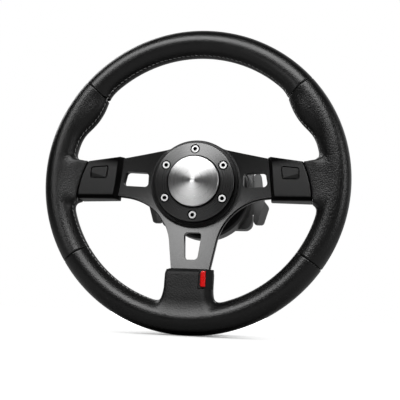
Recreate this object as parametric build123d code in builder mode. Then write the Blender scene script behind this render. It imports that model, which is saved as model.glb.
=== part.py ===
from build123d import *
import os
from math import cos, degrees, pi, radians, sin, tan

# Racing wheel for a driving simulator, with its hub drum, shift paddles and coupling.
# Millimetres. Z is up, X to the driver's right, and +Y runs along the wheel's axis, away from
# the driver. The origin is the centre of the coupling's mouth, at the back of the wheel.

# ------------------------------------------------------------------ rim and grip
rim_diameter = 320.0
rim_setback = 138.0  # rim mid-plane to coupling mouth
rim_lift = 3.5  # centre of the rim above the steering axis
grip_width = 29.4  # across the grip, in the plane of the wheel
grip_depth = 32.0  # through the grip, along the axis
grip_radius = rim_diameter / 2 - grip_width / 2
leather = 1.2
glue_line = 0.1
panel_seam = 0.6
upper_seam_angle = 49.3  # from the top of the wheel
lower_seam_angle = 124.9
thumb_angle = 58.5
thumb_start = 50.0
thumb_end = 74.0
thumb_swell = 7.3  # how far the thumb rest stands in from the grip
thumb_depth = 20.0
thumb_round = 6.0
thumb_root = 10.0  # how far it reaches back over the curve of the grip
thumb_trim = 5.0  # degrees of grip cut away past each end of a thumb rest
sleeve_depth = 26.0
sleeve_root_fillet = 16.0
sleeve_lower_fillet = 11.0
sleeve_rise = 13.5  # slope of the sleeve's front face up to the grip, degrees
sleeve_overlap = 4.0  # how far a sleeve runs into the grip before it spreads
side_bar_reach = 22.0  # spread of a side sleeve along the grip, above and below it

# ------------------------------------------------------------------ spokes
# Places on the rim's side are in from the grip's centre line, and heights are from the rim's centre.
plate_thickness = 5.0
backing_thickness = 4.0
backing_border = 1.0  # the backing shows this much all round the plate
dish_depth = 14.0  # hub face behind the rim mid-plane
dish_angle = 14.0
hub_flat_radius = 48.0
hub_radius = 46.0
hub_hole_radius = 24.0
armature_width = 12.0
spoke_end = grip_radius - 63.3  # where the wide part of a side spoke stops, inside its pod
spoke_end_top = 20.0
spoke_end_bottom = -18.9
spoke_top_slope = 0.247
crotch_x = 31.5
crotch_z = -22.8
crotch_sweep = 1.09  # crotch radius over the length of spoke beyond the crotch
bottom_spoke_end = 51.1 - grip_radius
bottom_spoke_half_width = 19.4
side_neck_top = -3.0
side_neck_bottom = -16.0
bottom_neck_half_width = 9.0
side_slot_inner = 50.8
side_slot_outer = grip_radius - 68.3
side_slot_lean = 3.0
side_slot_top = 7.3
side_slot_bottom = -8.3
bottom_slot_top = -55.5
bottom_slot_bottom = 60.8 - grip_radius
bottom_slot_top_half = 9.5
bottom_slot_bottom_half = 6.8
slot_corner = 4.0
backing_side_end = grip_radius - 61.3
backing_bottom_end = 52.1 - grip_radius

# ------------------------------------------------------------------ pods on the side spokes
pod_inner_top = (grip_radius - 68.7, 22.2)
pod_outer_top = (grip_radius - 33.0, 15.7)
pod_outer_middle = (grip_radius - 26.5, -3.0)
pod_outer_bottom = (grip_radius - 23.3, -24.6)
pod_inner_bottom = (grip_radius - 64.7, -23.6)
pod_wall = 2.0
pod_face_at = grip_radius - 65.3  # where the depth of the pod's face is set
pod_face_depth = -2.0
pod_face_slope = 9.0  # degrees
pod_draft = 22.0  # lean of the pod's inner wall, degrees
pod_split = 8.0  # joint between its covers, behind the rim mid-plane
pod_back = 17.0
pod_edge_fillet = 1.6
pod_lower_fillet = 5.0
shut_line = 0.5
pod_screw_places = ((grip_radius - 55.3, 15.4), (grip_radius - 41.3, -19.6))
pod_boss_radius = 2.7
m3_radius = 1.5
m3_head_radius = 2.75
m3_head_height = 1.8
m3_socket = 2.0  # across flats
pod_screw_reach = 8.0
thread_gap = 0.02  # between a screw and the thread it is in
hole_gap = 0.2  # between a screw and a plain hole
button_corners = (
    (grip_radius - 55.1, 11.8),
    (grip_radius - 36.3, 9.5),
    (grip_radius - 36.0, -2.9),
    (grip_radius - 53.6, -2.3),
)
button_corner_radius = 2.6
button_recess_depth = 1.4
button_ledge = 0.9
button_clearance = 0.35
button_proud = 0.3
button_lip = 0.2  # the flange behind the wall stands this far out past the recess
button_flange = 1.2
button_play = 0.1
button_travel = 1.0
button_bevel = 2.6
button_bevel_angle = 30.0
button_middle = (grip_radius - 45.3, 4.5)
plunger_radius = 2.0
plunger_length = 0.4
switch_size = 6.0
switch_height = 3.2
board_thickness = 1.6
board_half_width = 11.0
board_half_height = 6.0
board_post_radius = 1.6
board_post_spread = 8.0
board_post_drop = 3.5

# ------------------------------------------------------------------ bottom sleeve and red button
gaiter_top = 51.5 - grip_radius
gaiter_half_width = 24.0
gaiter_front = -3.0
gaiter_flare = 1.0
gaiter_bar_reach = 18.0
gaiter_facet_start = 17.6  # the right-hand front edge of the sleeve is cut back from here
gaiter_facet_depth = 6.5
red_left = 12.9
red_right = 18.2
red_height = 16.2
red_drop = 2.3  # top of the button below the top of the sleeve
red_corner = 2.2
red_front = -6.2
red_back = 3.5
red_travel = 1.5
red_clearance = 0.35
red_round = 1.4
bezel_wall = 1.2
bezel_side = 24.6
bezel_floor = 1.5
bezel_sink = 1.2  # rim of the surround below the sleeve's face
guard_front = -5.2  # front edge of the guard beside the button
guard_slope = 5.4  # how far the guard falls back to the side
guard_corner = 4.5
guard_round = 1.0
red_plunger_radius = 1.5
stop_gap = 0.3  # left between a button and its stop at full travel

# ------------------------------------------------------------------ clamp ring and horn
ring_outer_radius = 42.0
ring_inner_radius = 28.0
ring_height = 7.5
ring_edge = 0.8
ring_fall = 1.5  # the face falls back this much from its inner to its outer edge
base_ring_radius = 46.0
base_ring_height = 2.5
bolt_circle = 70.0
ring_bolts = 6
head_bevel = 0.1  # bevel of a screw head over its height
m5_radius = 2.5
m5_head_radius = 4.1
m5_head_height = 4.6
m5_socket = 4.0  # across flats
m5_counterbore_radius = 5.1
ring_screw_reach = 8.0  # into the hub spool
horn_radius = 26.6
horn_dome = 4.5
horn_edge = 2.5
horn_bevel = 0.6
horn_lift = 3.5  # edge of the cap in front of the clamp ring
horn_travel = 2.0
horn_stem_radius = 4.0
horn_stem_clearance = 0.05
horn_seat_radius = 12.0
horn_seat_height = 2.0
collar_radius = 27.4
collar_wall = 3.0
collar_teeth = 48
collar_tooth_radius = 0.4
cup_radius = 23.7
cup_wall = 2.2
cup_flange = 3.0
cup_depth = 14.0
spring_radius = 9.0
spring_wire = 0.9
spring_turns = 4
stem_clip_play = 0.1
stem_clip_thickness = 0.9
stem_clip_radius = 7.0
stem_clip_bite = 0.8
stem_clip_gap = 4.0
stem_tail = 2.0
switch_base_thickness = 3.0
switch_base_clearance = 0.1
horn_switch_radius = 6.0
horn_switch_height = 7.0

# ------------------------------------------------------------------ hub spool and drum
spool_flange_radius = 41.0
spool_flange = 8.0
spool_waist_radius = 29.0
spool_bore_radius = 25.0
spool_rear_bore_radius = 20.0
spool_length = 43.0
spool_fillet = 3.0
core_bolt_circle = 73.0
core_bolts = 6
drum_radius = 53.0
drum_depth = 26.0
drum_front_share = 14.0
drum_wall = 2.5
drum_edge = 3.0
drum_screw_circle = 2 * (drum_radius - 6.5)
drum_screws = 4
drum_boss_radius = 3.2
drum_screw_reach = 6.0
core_radius = 27.0
core_clearance = 0.2
core_flange_radius = 41.0
core_flange = 7.5
core_bore_radius = 14.0
control_outer_radius = drum_radius - 10.2
control_inner_radius = 30.0
control_standoff = 4.0
control_post_radius = 2.5
control_post_circle = 74.0

# ------------------------------------------------------------------ shifter housing and paddles
housing_half_width = drum_radius - 0.5
housing_half_height = drum_radius - 15.0
housing_depth = 20.0
housing_corner = 9.0
housing_wall = 2.0
pocket_half_height = 20.0
pocket_inner = housing_half_width - 16.5
paddle_pin_radius = 2.0
paddle_pin_clearance = 0.05
paddle_pin_reach = 7.0  # into the housing above and below the pocket
hinge_x = housing_half_width - 4.0
hinge_depth = 10.0  # behind the housing's front
knuckle_radius = 4.5
knuckle_gap = 0.4
paddle_web = 3.6  # half the thickness of the arm
lever_inner = hinge_x - 10.5
lever_half_height = 8.0
lever_half_thickness = 3.0
paddle_inner = hinge_x + 5.5
paddle_top = 28.0
paddle_top_x = hinge_x + 13.0
paddle_shoulder_x = hinge_x + 17.5
paddle_shoulder_z = -4.5
paddle_wide_x = hinge_x + 23.0
paddle_wide_z = -11.0
paddle_bottom_x = hinge_x + 16.7
paddle_bottom = -31.6
paddle_corner = 4.0
paddle_front_gap = 5.0
paddle_thickness = 9.0
paddle_facet = 6.5
paddle_facet_depth = 4.5
magnet_x = hinge_x - 7.1
magnet_radius = 3.0
magnet_thickness = 2.0
sensor_thickness = 1.8

# ------------------------------------------------------------------ coupling
coupler_flange_radius = 34.0
coupler_flange = 5.0
coupler_radius = 27.0
coupler_bore_radius = 17.5
coupler_bore_depth = 20.0
coupler_edge = 0.8
keyway_width = 5.0
keyway_depth = 2.0
lock_ring_radius = 33.5
lock_ring_length = 16.0
lock_ring_clearance = 0.1
lock_ring_play = 0.3
lock_ring_flutes = 24
flute_radius = 2.2
clip_section = 1.2
clip_bite = 1.0
clip_stand = 1.8
clip_gap = 8.0
coupler_screw_circle = 43.6
coupler_screws = 4
m4_radius = 2.0
m4_head_radius = 3.5
m4_head_height = 4.0
m4_socket = 3.0  # across flats
m4_counterbore_radius = 3.7
m4_reach = 9.0
connector_radius = 7.0
connector_length = 12.0
connector_socket_radius = 5.5
connector_socket_depth = 4.0
connector_pins = 6
pin_radius = 0.6
pin_circle = 7.0

# ------------------------------------------------------------------ depths worked out along Y
rim_y = -rim_setback
hub_y = rim_y + dish_depth
backing_y = hub_y + plate_thickness
spool_y = backing_y + backing_thickness
drum_y = spool_y + spool_length
housing_y = drum_y + drum_depth
coupler_y = housing_y + housing_depth
base_ring_y = hub_y - base_ring_height
ring_face_y = base_ring_y - ring_height
ring_seat_y = ring_face_y + ring_fall / 2 + m5_head_height
horn_edge_y = ring_face_y - horn_lift
horn_back_y = horn_edge_y + horn_edge
cup_floor_y = hub_y + cup_depth
stem_end_y = cup_floor_y + stem_clip_play + stem_clip_thickness + stem_tail
horn_switch_y = stem_end_y + horn_travel + stop_gap
switch_base_y = horn_switch_y + horn_switch_height
core_y = drum_y + drum_wall
drum_split_y = drum_y + drum_front_share
armature_radius = grip_radius
crotch_radius = crotch_sweep * (spoke_end - crotch_x)
hub_centre = (0, -rim_lift)  # from the rim's centre
flat_rim_radius = hub_flat_radius + (dish_depth + plate_thickness / 2) / tan(radians(dish_angle))

os.makedirs("parts", exist_ok=True)


# ------------------------------------------------------------------ shared shapes
def across(y):
    """Plane square to the axis at y, with X right and Z up. Extrudes from it go forward."""
    return Plane.XZ.offset(-y)


def outline(*corners):
    """Flat face through the corners given."""
    with BuildSketch() as flat:
        with BuildLine():
            Polyline(*corners, close=True)
        make_face()
    return flat.sketch


def annulus(outer, inner):
    with BuildSketch() as ring:
        Circle(outer)
        Circle(inner, mode=Mode.SUBTRACT)
    return ring.sketch


def turned(*corners):
    """Section through the axis, as (radius, y) corners, ready to revolve about Y."""
    return Plane.XY * outline(*corners)


def rod(y, radius, length, *places):
    """Round rods along the axis, from y forward, at the (x, z) places."""
    with BuildPart() as rods:
        with BuildSketch(across(y)):
            with Locations(*places):
                Circle(radius)
        extrude(amount=length)
    return rods.part


def block(y, x_low, x_high, z_low, z_high, depth):
    """Square-cornered block from y forward."""
    with BuildPart() as body:
        with BuildSketch(across(y)):
            with Locations(((x_low + x_high) / 2, (z_low + z_high) / 2)):
                Rectangle(x_high - x_low, z_high - z_low)
        extrude(amount=depth)
    return body.part


def ring_places(circle, count, first=90.0):
    """(x, z) places evenly spaced on a circle of the diameter given."""
    turns = [radians(first + 360 / count * i) for i in range(count)]
    return [(circle / 2 * cos(t), circle / 2 * sin(t)) for t in turns]


def socket_screws(y, places, radius, length, head_radius, head_height, flats, facing=-1):
    """Socket screws seated at y; the heads face forward, or back where facing is 1."""
    shank_back = y + length if facing < 0 else y
    head_back = y if facing < 0 else y + head_height
    socket_back = y - head_height / 2 if facing < 0 else y + head_height
    with BuildPart() as screws:
        add(rod(shank_back, radius, length, *places))
        add(rod(head_back, head_radius, head_height, *places))
        tops = screws.edges().group_by(Axis.Y)[0 if facing < 0 else -1]
        chamfer(tops, head_height * head_bevel)
        with BuildSketch(across(socket_back)):
            with Locations(*places):
                RegularPolygon(flats / 2, 6, major_radius=False)
        extrude(amount=head_height / 2, mode=Mode.SUBTRACT)
    return screws.part


def split_ring(y, outer, inner, thickness, gap):
    """Snap ring from y forward, open at the bottom."""
    with BuildPart() as ring:
        with BuildSketch(across(y)):
            add(annulus(outer, inner))
            with Locations((0, -outer)):
                Rectangle(gap, 2 * (outer - inner) + outer, mode=Mode.SUBTRACT)
        extrude(amount=thickness)
    return ring.part


def save(part, name):
    part.label = name
    export_step(part, f"parts/{name}.step")


def save_lifted(part, name):
    """Saves a piece drawn about the rim's centre at its height above the steering axis."""
    save(Pos(0, 0, rim_lift) * part, name)


# ------------------------------------------------------------------ spoke plate and armature ring
def dished(front_shift, thickness):
    """Section of the dished plate: flat hub, cone and flat outer ring."""
    front = rim_y - plate_thickness / 2 + front_shift
    hub = hub_y + front_shift
    outer = armature_radius + armature_width / 2 + rim_lift
    section = turned(
        (hub_hole_radius, hub),
        (hub_flat_radius, hub),
        (flat_rim_radius, front),
        (outer, front),
        (outer, front + thickness),
        (flat_rim_radius, front + thickness),
        (hub_flat_radius, hub + thickness),
        (hub_hole_radius, hub + thickness),
    )
    return Pos(0, 0, -rim_lift) * section


def spoke_star(side_end, bottom_end, border):
    """Hub and three spokes seen from the front, with the slots cut through."""
    top_z = spoke_end_top + spoke_top_slope * spoke_end
    end_top = top_z - spoke_top_slope * side_end
    lean = (bottom_spoke_half_width - crotch_x) / (bottom_spoke_end - crotch_z)
    end_half = crotch_x + lean * (bottom_end - crotch_z)
    drop = (spoke_end_bottom - crotch_z) / (spoke_end - crotch_x)
    end_bottom = crotch_z + drop * (side_end - crotch_x)
    right = [(side_end, end_top), (side_end, end_bottom), (crotch_x, crotch_z), (end_half, bottom_end)]
    left = [(-x, z) for x, z in reversed(right)]
    with BuildSketch() as star:
        add(outline((0, top_z), *right, *left))
        crotches = [v for v in star.vertices() if abs(abs(v.X) - crotch_x) < 0.01]
        fillet(crotches, crotch_radius)
        with Locations(hub_centre):
            Circle(hub_radius)
        shoulders = [v for v in star.vertices() if 0 < v.Y < hub_radius and abs(v.X) < hub_radius]
        fillet(shoulders, crotch_radius / 2)
        if border:
            offset(amount=border, kind=Kind.INTERSECTION)
        add(side_slot(), mode=Mode.SUBTRACT)
        add(mirror(side_slot(), about=Plane.YZ), mode=Mode.SUBTRACT)
        add(bottom_slot(), mode=Mode.SUBTRACT)
    return star.sketch


def side_slot():
    with BuildSketch() as slot:
        add(
            outline(
                (side_slot_inner, side_slot_top),
                (side_slot_outer - side_slot_lean, side_slot_top),
                (side_slot_outer, side_slot_bottom),
                (side_slot_inner, side_slot_bottom),
            )
        )
        fillet(slot.vertices(), slot_corner)
    return slot.sketch


def bottom_slot():
    with BuildSketch() as slot:
        add(
            outline(
                (-bottom_slot_top_half, bottom_slot_top),
                (bottom_slot_top_half, bottom_slot_top),
                (bottom_slot_bottom_half, bottom_slot_bottom),
                (-bottom_slot_bottom_half, bottom_slot_bottom),
            )
        )
        fillet(slot.vertices(), slot_corner)
    return slot.sketch


armature_inner = armature_radius - armature_width / 2
armature_outer = armature_radius + armature_width / 2
plate_reach = grip_depth + dish_depth + plate_thickness
bolt_places = ring_places(bolt_circle, ring_bolts)
plate_bolt_places = [(x, z - rim_lift) for x, z in bolt_places]
plate_axis = Axis((0, 0, -rim_lift), (0, 1, 0))


def necks():
    """Narrow ends of the spokes, from the pods and the sleeve into the armature ring."""
    with BuildSketch() as ends:
        neck_x = (spoke_end + armature_radius) / 2
        neck_z = (side_neck_top + side_neck_bottom) / 2
        with Locations((neck_x, neck_z), (-neck_x, neck_z)):
            Rectangle(armature_radius - spoke_end + 1, side_neck_top - side_neck_bottom)
        with Locations((0, (bottom_spoke_end - armature_radius) / 2)):
            Rectangle(2 * bottom_neck_half_width, armature_radius + bottom_spoke_end + 1)
    return ends.sketch


with BuildPart() as spoke_frame:
    with BuildSketch(across(rim_y + plate_reach)):
        add(spoke_star(spoke_end, bottom_spoke_end, 0))
        add(necks())
        add(annulus(armature_outer, armature_inner))
    extrude(amount=2 * plate_reach)
    revolve(dished(0, plate_thickness), axis=plate_axis, mode=Mode.INTERSECT)
    add(rod(backing_y, m5_radius + hole_gap, plate_thickness, *plate_bolt_places), mode=Mode.SUBTRACT)
save_lifted(spoke_frame.part, "spoke_frame")

with BuildPart() as spoke_backing:
    with BuildSketch(across(rim_y + plate_reach)):
        add(spoke_star(backing_side_end, backing_bottom_end, backing_border))
    extrude(amount=2 * plate_reach)
    revolve(dished(plate_thickness, backing_thickness), axis=plate_axis, mode=Mode.INTERSECT)
    add(rod(spool_y, m5_radius + hole_gap, backing_thickness, *plate_bolt_places), mode=Mode.SUBTRACT)
save_lifted(spoke_backing.part, "spoke_backing")
spokes = spoke_frame.part + spoke_backing.part


# ------------------------------------------------------------------ grip: foam and leather panels
def pod_edge(shift):
    """Curved outer edge of a pod, moved outwards by shift, as three (x, z) points."""
    return [(x + shift, z) for x, z in (pod_outer_top, pod_outer_middle, pod_outer_bottom)]


def side_sleeve_outline(inset):
    """Sleeve that runs from a pod's outer edge into the grip, seen from the front."""
    top, middle, bottom = pod_edge(shut_line)
    root_in = grip_radius - grip_width / 2 + sleeve_overlap
    root_out = grip_radius
    bar_top = top[1] + side_bar_reach
    bar_bottom = bottom[1] - side_bar_reach
    with BuildSketch() as sleeve:
        with BuildLine():
            ThreePointArc(top, middle, bottom)
            Polyline(
                bottom,
                (root_in, bottom[1]),
                (root_in, bar_bottom),
                (root_out, bar_bottom),
                (root_out, bar_top),
                (root_in, bar_top),
                (root_in, top[1]),
                top,
            )
        make_face()
        roots = [v for v in sleeve.vertices() if abs(v.X - root_in) < 0.01]
        fillet([v for v in roots if abs(v.Y - top[1]) < 0.01], sleeve_root_fillet)
        fillet([v for v in roots if abs(v.Y - bottom[1]) < 0.01], sleeve_lower_fillet)
        if inset:
            offset(amount=-inset, kind=Kind.INTERSECTION)
    return sleeve.sketch


def gaiter_outline(inset):
    """Sleeve over the end of the bottom spoke, seen from the front."""
    root_in = grip_width / 2 - grip_radius - sleeve_overlap
    root_half = gaiter_half_width + gaiter_flare
    bar_half = gaiter_half_width + gaiter_bar_reach
    with BuildSketch() as sleeve:
        add(
            outline(
                (-gaiter_half_width, gaiter_top),
                (gaiter_half_width, gaiter_top),
                (root_half, root_in),
                (bar_half, root_in),
                (bar_half, -grip_radius),
                (-bar_half, -grip_radius),
                (-bar_half, root_in),
                (-root_half, root_in),
            )
        )
        roots = [v for v in sleeve.vertices() if abs(v.Y - root_in) < 0.01 and abs(v.X) < bar_half - 1]
        fillet(roots, sleeve_root_fillet)
        if inset:
            offset(amount=-inset, kind=Kind.INTERSECTION)
    return sleeve.sketch


def sleeve_block(face, hinge_point, lean, inset):
    """Sleeve outline given depth, with a front that slopes up to the grip from the hinge point."""
    slope = Plane(origin=hinge_point, z_dir=lean).offset(-inset)
    with BuildPart() as block:
        with BuildSketch(across(rim_y + sleeve_depth / 2 - inset)):
            add(face)
        extrude(amount=sleeve_depth - 2 * inset)
        split(bisect_by=slope, keep=Keep.BOTTOM)
    return block.part


def grip_section(turn):
    """Plane through the axis at an angle from the top of the wheel; local x runs outwards."""
    t = radians(turn)
    return Plane(origin=(0, rim_y, 0), x_dir=(sin(t), 0, cos(t)), z_dir=(cos(t), 0, -sin(t)))


def plain_grip(first, last, inset):
    """Round grip between two angles from the top."""
    with BuildPart() as grip:
        with BuildSketch(grip_section(first)):
            with Locations((grip_radius, 0)):
                Ellipse(grip_width / 2 - inset, grip_depth / 2 - inset)
        revolve(axis=Axis.Y, revolution_arc=last - first)
    return grip.part


def side_sleeve_block(inset):
    """Sleeve from the right-hand pod into the grip."""
    rise = radians(sleeve_rise)
    hinge = (pod_outer_top[0], rim_y + pod_face_y(pod_outer_top[0]) - shut_line, 0)
    return sleeve_block(side_sleeve_outline(inset), hinge, (-sin(rise), -cos(rise), 0), inset)


def polar(radius, turn):
    """(x, z) at a radius and an angle from the top of the wheel."""
    return (radius * sin(radians(turn)), radius * cos(radians(turn)))


def gaiter_block(inset):
    """Sleeve over the end of the bottom spoke."""
    rise = radians(sleeve_rise)
    hinge = (0, rim_y + gaiter_front, gaiter_top)
    body = sleeve_block(gaiter_outline(inset), hinge, (0, -cos(rise), sin(rise)), inset)
    run = Vector(gaiter_half_width - gaiter_facet_start, gaiter_facet_depth, 0)
    slope = Vector(0, -sin(rise), -cos(rise))
    facet = Plane(origin=(gaiter_facet_start, rim_y + gaiter_front, gaiter_top), z_dir=slope.cross(run))
    return split(body, bisect_by=facet.offset(-inset), keep=Keep.BOTTOM, mode=Mode.PRIVATE)


def pod_face_y(x):
    """Depth of the pod's front face at x, behind the rim mid-plane."""
    return pod_face_depth - (abs(x) - pod_face_at) * tan(radians(pod_face_slope))


bezel_y = rim_y + red_back + red_travel + stop_gap
red_switch_y = bezel_y + bezel_floor
red_top = gaiter_top - red_drop
red_bottom = red_top - red_height
red_middle = ((red_left + red_right) / 2, (red_top + red_bottom) / 2)
bezel_left = red_left - red_clearance - bezel_wall
bezel_low = red_bottom - red_clearance - bezel_wall
bezel_high = red_top + red_clearance + bezel_wall
bezel_pocket = block(red_switch_y, bezel_left, bezel_side + leather, bezel_low, bezel_high, grip_depth)
switch_pocket = block(
    red_switch_y + switch_height,
    red_middle[0] - switch_size / 2,
    red_middle[0] + switch_size / 2,
    red_middle[1] - switch_size / 2,
    red_middle[1] + switch_size / 2,
    switch_height,
)

seam_trim = degrees(panel_seam / 2 / grip_radius)
foam_inset = leather + glue_line

with BuildPart() as rim_foam:
    with BuildSketch(grip_section(0)):
        with Locations((grip_radius, 0)):
            Ellipse(grip_width / 2 - foam_inset, grip_depth / 2 - foam_inset)
    revolve(axis=Axis.Y)
    add(side_sleeve_block(foam_inset))
    add(mirror(side_sleeve_block(foam_inset), about=Plane.YZ))
    add(gaiter_block(foam_inset))
    add(spokes, mode=Mode.SUBTRACT)
    add(bezel_pocket, mode=Mode.SUBTRACT)
    add(switch_pocket, mode=Mode.SUBTRACT)
save_lifted(rim_foam.part, "rim_foam")

with BuildPart() as leather_top:
    add(plain_grip(seam_trim - upper_seam_angle, upper_seam_angle - seam_trim, 0))
    add(plain_grip(-upper_seam_angle, upper_seam_angle, leather), mode=Mode.SUBTRACT)
save_lifted(leather_top.part, "leather_top")

with BuildPart() as leather_right:
    add(plain_grip(upper_seam_angle + seam_trim, lower_seam_angle - seam_trim, 0))
    add(side_sleeve_block(0))
    add(plain_grip(upper_seam_angle, lower_seam_angle, leather), mode=Mode.SUBTRACT)
    add(side_sleeve_block(leather), mode=Mode.SUBTRACT)
    add(spokes, mode=Mode.SUBTRACT)
save_lifted(leather_right.part, "leather_right")
save_lifted(mirror(leather_right.part, about=Plane.YZ), "leather_left")

with BuildPart() as leather_bottom:
    add(plain_grip(lower_seam_angle + seam_trim, 360 - lower_seam_angle - seam_trim, 0))
    add(gaiter_block(0))
    add(plain_grip(lower_seam_angle, 360 - lower_seam_angle, leather), mode=Mode.SUBTRACT)
    add(gaiter_block(leather), mode=Mode.SUBTRACT)
    add(spokes, mode=Mode.SUBTRACT)
    add(bezel_pocket, mode=Mode.SUBTRACT)
save_lifted(leather_bottom.part, "leather_bottom")

with BuildPart() as thumb_rest:
    with BuildSketch(across(rim_y + thumb_depth / 2)):
        thumb_base = grip_radius - grip_width / 2
        thumb_first = polar(thumb_base, thumb_start)
        thumb_last = polar(thumb_base, thumb_end)
        with BuildLine():
            Spline(thumb_first, polar(thumb_base - thumb_swell, thumb_angle), thumb_last)
            ThreePointArc(
                thumb_last, polar(thumb_base + thumb_root, (thumb_start + thumb_end) / 2), thumb_first
            )
        make_face()
    extrude(amount=thumb_depth)
    fillet(thumb_rest.edges().filter_by(GeomType.BSPLINE), thumb_round)
    add(plain_grip(thumb_start - thumb_trim, thumb_end + thumb_trim, -glue_line), mode=Mode.SUBTRACT)
save_lifted(thumb_rest.part, "right_thumb_rest")
save_lifted(mirror(thumb_rest.part, about=Plane.YZ), "left_thumb_rest")


# ------------------------------------------------------------------ pods on the side spokes
pod_tilt = radians(pod_face_slope)
pod_face = Plane(
    origin=(pod_face_at, rim_y + pod_face_depth, 0),
    x_dir=(cos(pod_tilt), -sin(pod_tilt), 0),
    z_dir=(-sin(pod_tilt), -cos(pod_tilt), 0),
)
pod_foot_y = hub_y - (pod_inner_top[0] - hub_flat_radius) * tan(radians(dish_angle))
pod_foot_line = Vector(pod_inner_bottom[0] - pod_inner_top[0], 0, pod_inner_bottom[1] - pod_inner_top[1])
pod_draft_line = Vector(tan(radians(pod_draft)), -1, 0)
pod_inner_wall = Plane(
    origin=(pod_inner_top[0], pod_foot_y, pod_inner_top[1]),
    x_dir=pod_foot_line,
    z_dir=pod_foot_line.cross(pod_draft_line),
)
pod_split_y = rim_y + pod_split
pod_back_y = rim_y + pod_back
pod_floor_y = pod_back_y - pod_wall
button_face_y = rim_y + pod_face_y(button_middle[0])
plunger_tip_y = button_face_y + pod_wall + button_play + button_flange + plunger_length
board_front_y = plunger_tip_y + button_travel + stop_gap + switch_height
board_back_y = board_front_y + board_thickness
post_places = (
    (button_middle[0] - board_post_spread, button_middle[1] + board_post_drop),
    (button_middle[0] + board_post_spread, button_middle[1] - board_post_drop),
)


def pod_outline(inset):
    """Pod seen from the front, drawn in by inset."""
    with BuildSketch() as pod:
        with BuildLine():
            ThreePointArc(*pod_edge(0))
            Polyline(pod_outer_bottom, pod_inner_bottom, pod_inner_top, pod_outer_top)
        make_face()
        if inset:
            offset(amount=-inset, kind=Kind.INTERSECTION)
    return pod.sketch


def button_outline(growth):
    with BuildSketch() as shape:
        add(outline(*button_corners))
        fillet(shape.vertices(), button_corner_radius)
        offset(amount=growth, kind=Kind.INTERSECTION)
    return shape.sketch


def between(face, front, back):
    """Slice of an outline between two planes that run along the pod's face, front and back of it."""
    with BuildPart() as body:
        with BuildSketch(across(pod_back_y)):
            add(face)
        extrude(amount=2 * grip_depth)
        split(bisect_by=pod_face.offset(front), keep=Keep.BOTTOM)
        split(bisect_by=pod_face.offset(back), keep=Keep.TOP)
    return body.part


with BuildPart() as pod_front:
    with BuildSketch(across(pod_split_y)):
        add(pod_outline(0))
    extrude(amount=grip_depth)
    split(bisect_by=pod_face, keep=Keep.BOTTOM)
    split(bisect_by=pod_inner_wall, keep=Keep.BOTTOM)
    face_edges = pod_front.faces().sort_by(Axis(pod_face.origin, pod_face.z_dir))[-1].edges()
    fillet(face_edges.sort_by(Axis.Z)[0], pod_lower_fillet)
    face_edges = pod_front.faces().sort_by(Axis(pod_face.origin, pod_face.z_dir))[-1].edges()
    fillet(face_edges.sort_by(Axis.Z)[1:], pod_edge_fillet)
    with BuildSketch(across(pod_split_y)):
        add(pod_outline(pod_wall))
    cavity = extrude(amount=grip_depth, mode=Mode.PRIVATE)
    cavity = split(cavity, bisect_by=pod_face.offset(-pod_wall), keep=Keep.BOTTOM, mode=Mode.PRIVATE)
    cavity = split(cavity, bisect_by=pod_inner_wall.offset(-pod_wall), keep=Keep.BOTTOM, mode=Mode.PRIVATE)
    add(cavity, mode=Mode.SUBTRACT)
    bosses = rod(pod_split_y, pod_boss_radius, grip_depth, *pod_screw_places)
    add(split(bosses, bisect_by=pod_face.offset(-pod_wall / 2), keep=Keep.BOTTOM, mode=Mode.PRIVATE))
    add(rod(pod_split_y, m3_radius + thread_gap, pod_screw_reach + 1, *pod_screw_places), mode=Mode.SUBTRACT)
    add(between(button_outline(0), 1, -button_recess_depth), mode=Mode.SUBTRACT)
    add(between(button_outline(-button_ledge), 1, -2 * pod_wall), mode=Mode.SUBTRACT)
    add(spokes, mode=Mode.SUBTRACT)

with BuildPart() as pod_rear:
    with BuildSketch(across(pod_back_y)):
        add(pod_outline(0))
    extrude(amount=pod_back - pod_split)
    fillet(pod_rear.faces().sort_by(Axis.Y)[-1].edges(), pod_edge_fillet)
    with BuildSketch(across(pod_floor_y)):
        add(pod_outline(pod_wall))
    extrude(amount=pod_back - pod_wall - pod_split, mode=Mode.SUBTRACT)
    add(rod(pod_floor_y, m3_head_radius + pod_wall / 2, pod_floor_y - pod_split_y, *pod_screw_places))
    add(rod(pod_floor_y, board_post_radius, pod_floor_y - board_back_y, *post_places))
    add(rod(pod_back_y, m3_radius + hole_gap, pod_back, *pod_screw_places), mode=Mode.SUBTRACT)
    add(rod(pod_back_y, m3_head_radius + hole_gap, m3_head_height, *pod_screw_places), mode=Mode.SUBTRACT)
    add(spokes, mode=Mode.SUBTRACT)

button_cap_growth = -button_ledge - button_clearance
flange_front = -pod_wall - button_play
with BuildPart() as pod_button:
    add(between(button_outline(button_cap_growth), button_proud, flange_front))
    low = min(z for x, z in button_corners) - button_cap_growth
    bevel = radians(button_bevel_angle)
    bevel_point = (button_middle[0], button_face_y - button_proud, low + button_bevel)
    split(bisect_by=Plane(origin=bevel_point, z_dir=(0, -cos(bevel), -sin(bevel))), keep=Keep.BOTTOM)
    add(between(button_outline(button_lip), flange_front, flange_front - button_flange))
    add(rod(plunger_tip_y, plunger_radius, plunger_length + button_flange / 2, button_middle))

with BuildPart() as button_board:
    with BuildSketch(across(board_back_y)):
        with Locations(button_middle):
            Rectangle(2 * board_half_width, 2 * board_half_height)
    extrude(amount=board_thickness)
    with BuildSketch(across(board_front_y)):
        with Locations(button_middle):
            Rectangle(switch_size, switch_size)
    extrude(amount=switch_height)

right_side = {
    "pod_front": pod_front.part,
    "pod_back": pod_rear.part,
    "pod_button": pod_button.part,
    "button_board": button_board.part,
}
for piece, solid in right_side.items():
    save_lifted(solid, f"right_{piece}")
    save_lifted(mirror(solid, about=Plane.YZ), f"left_{piece}")

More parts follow.
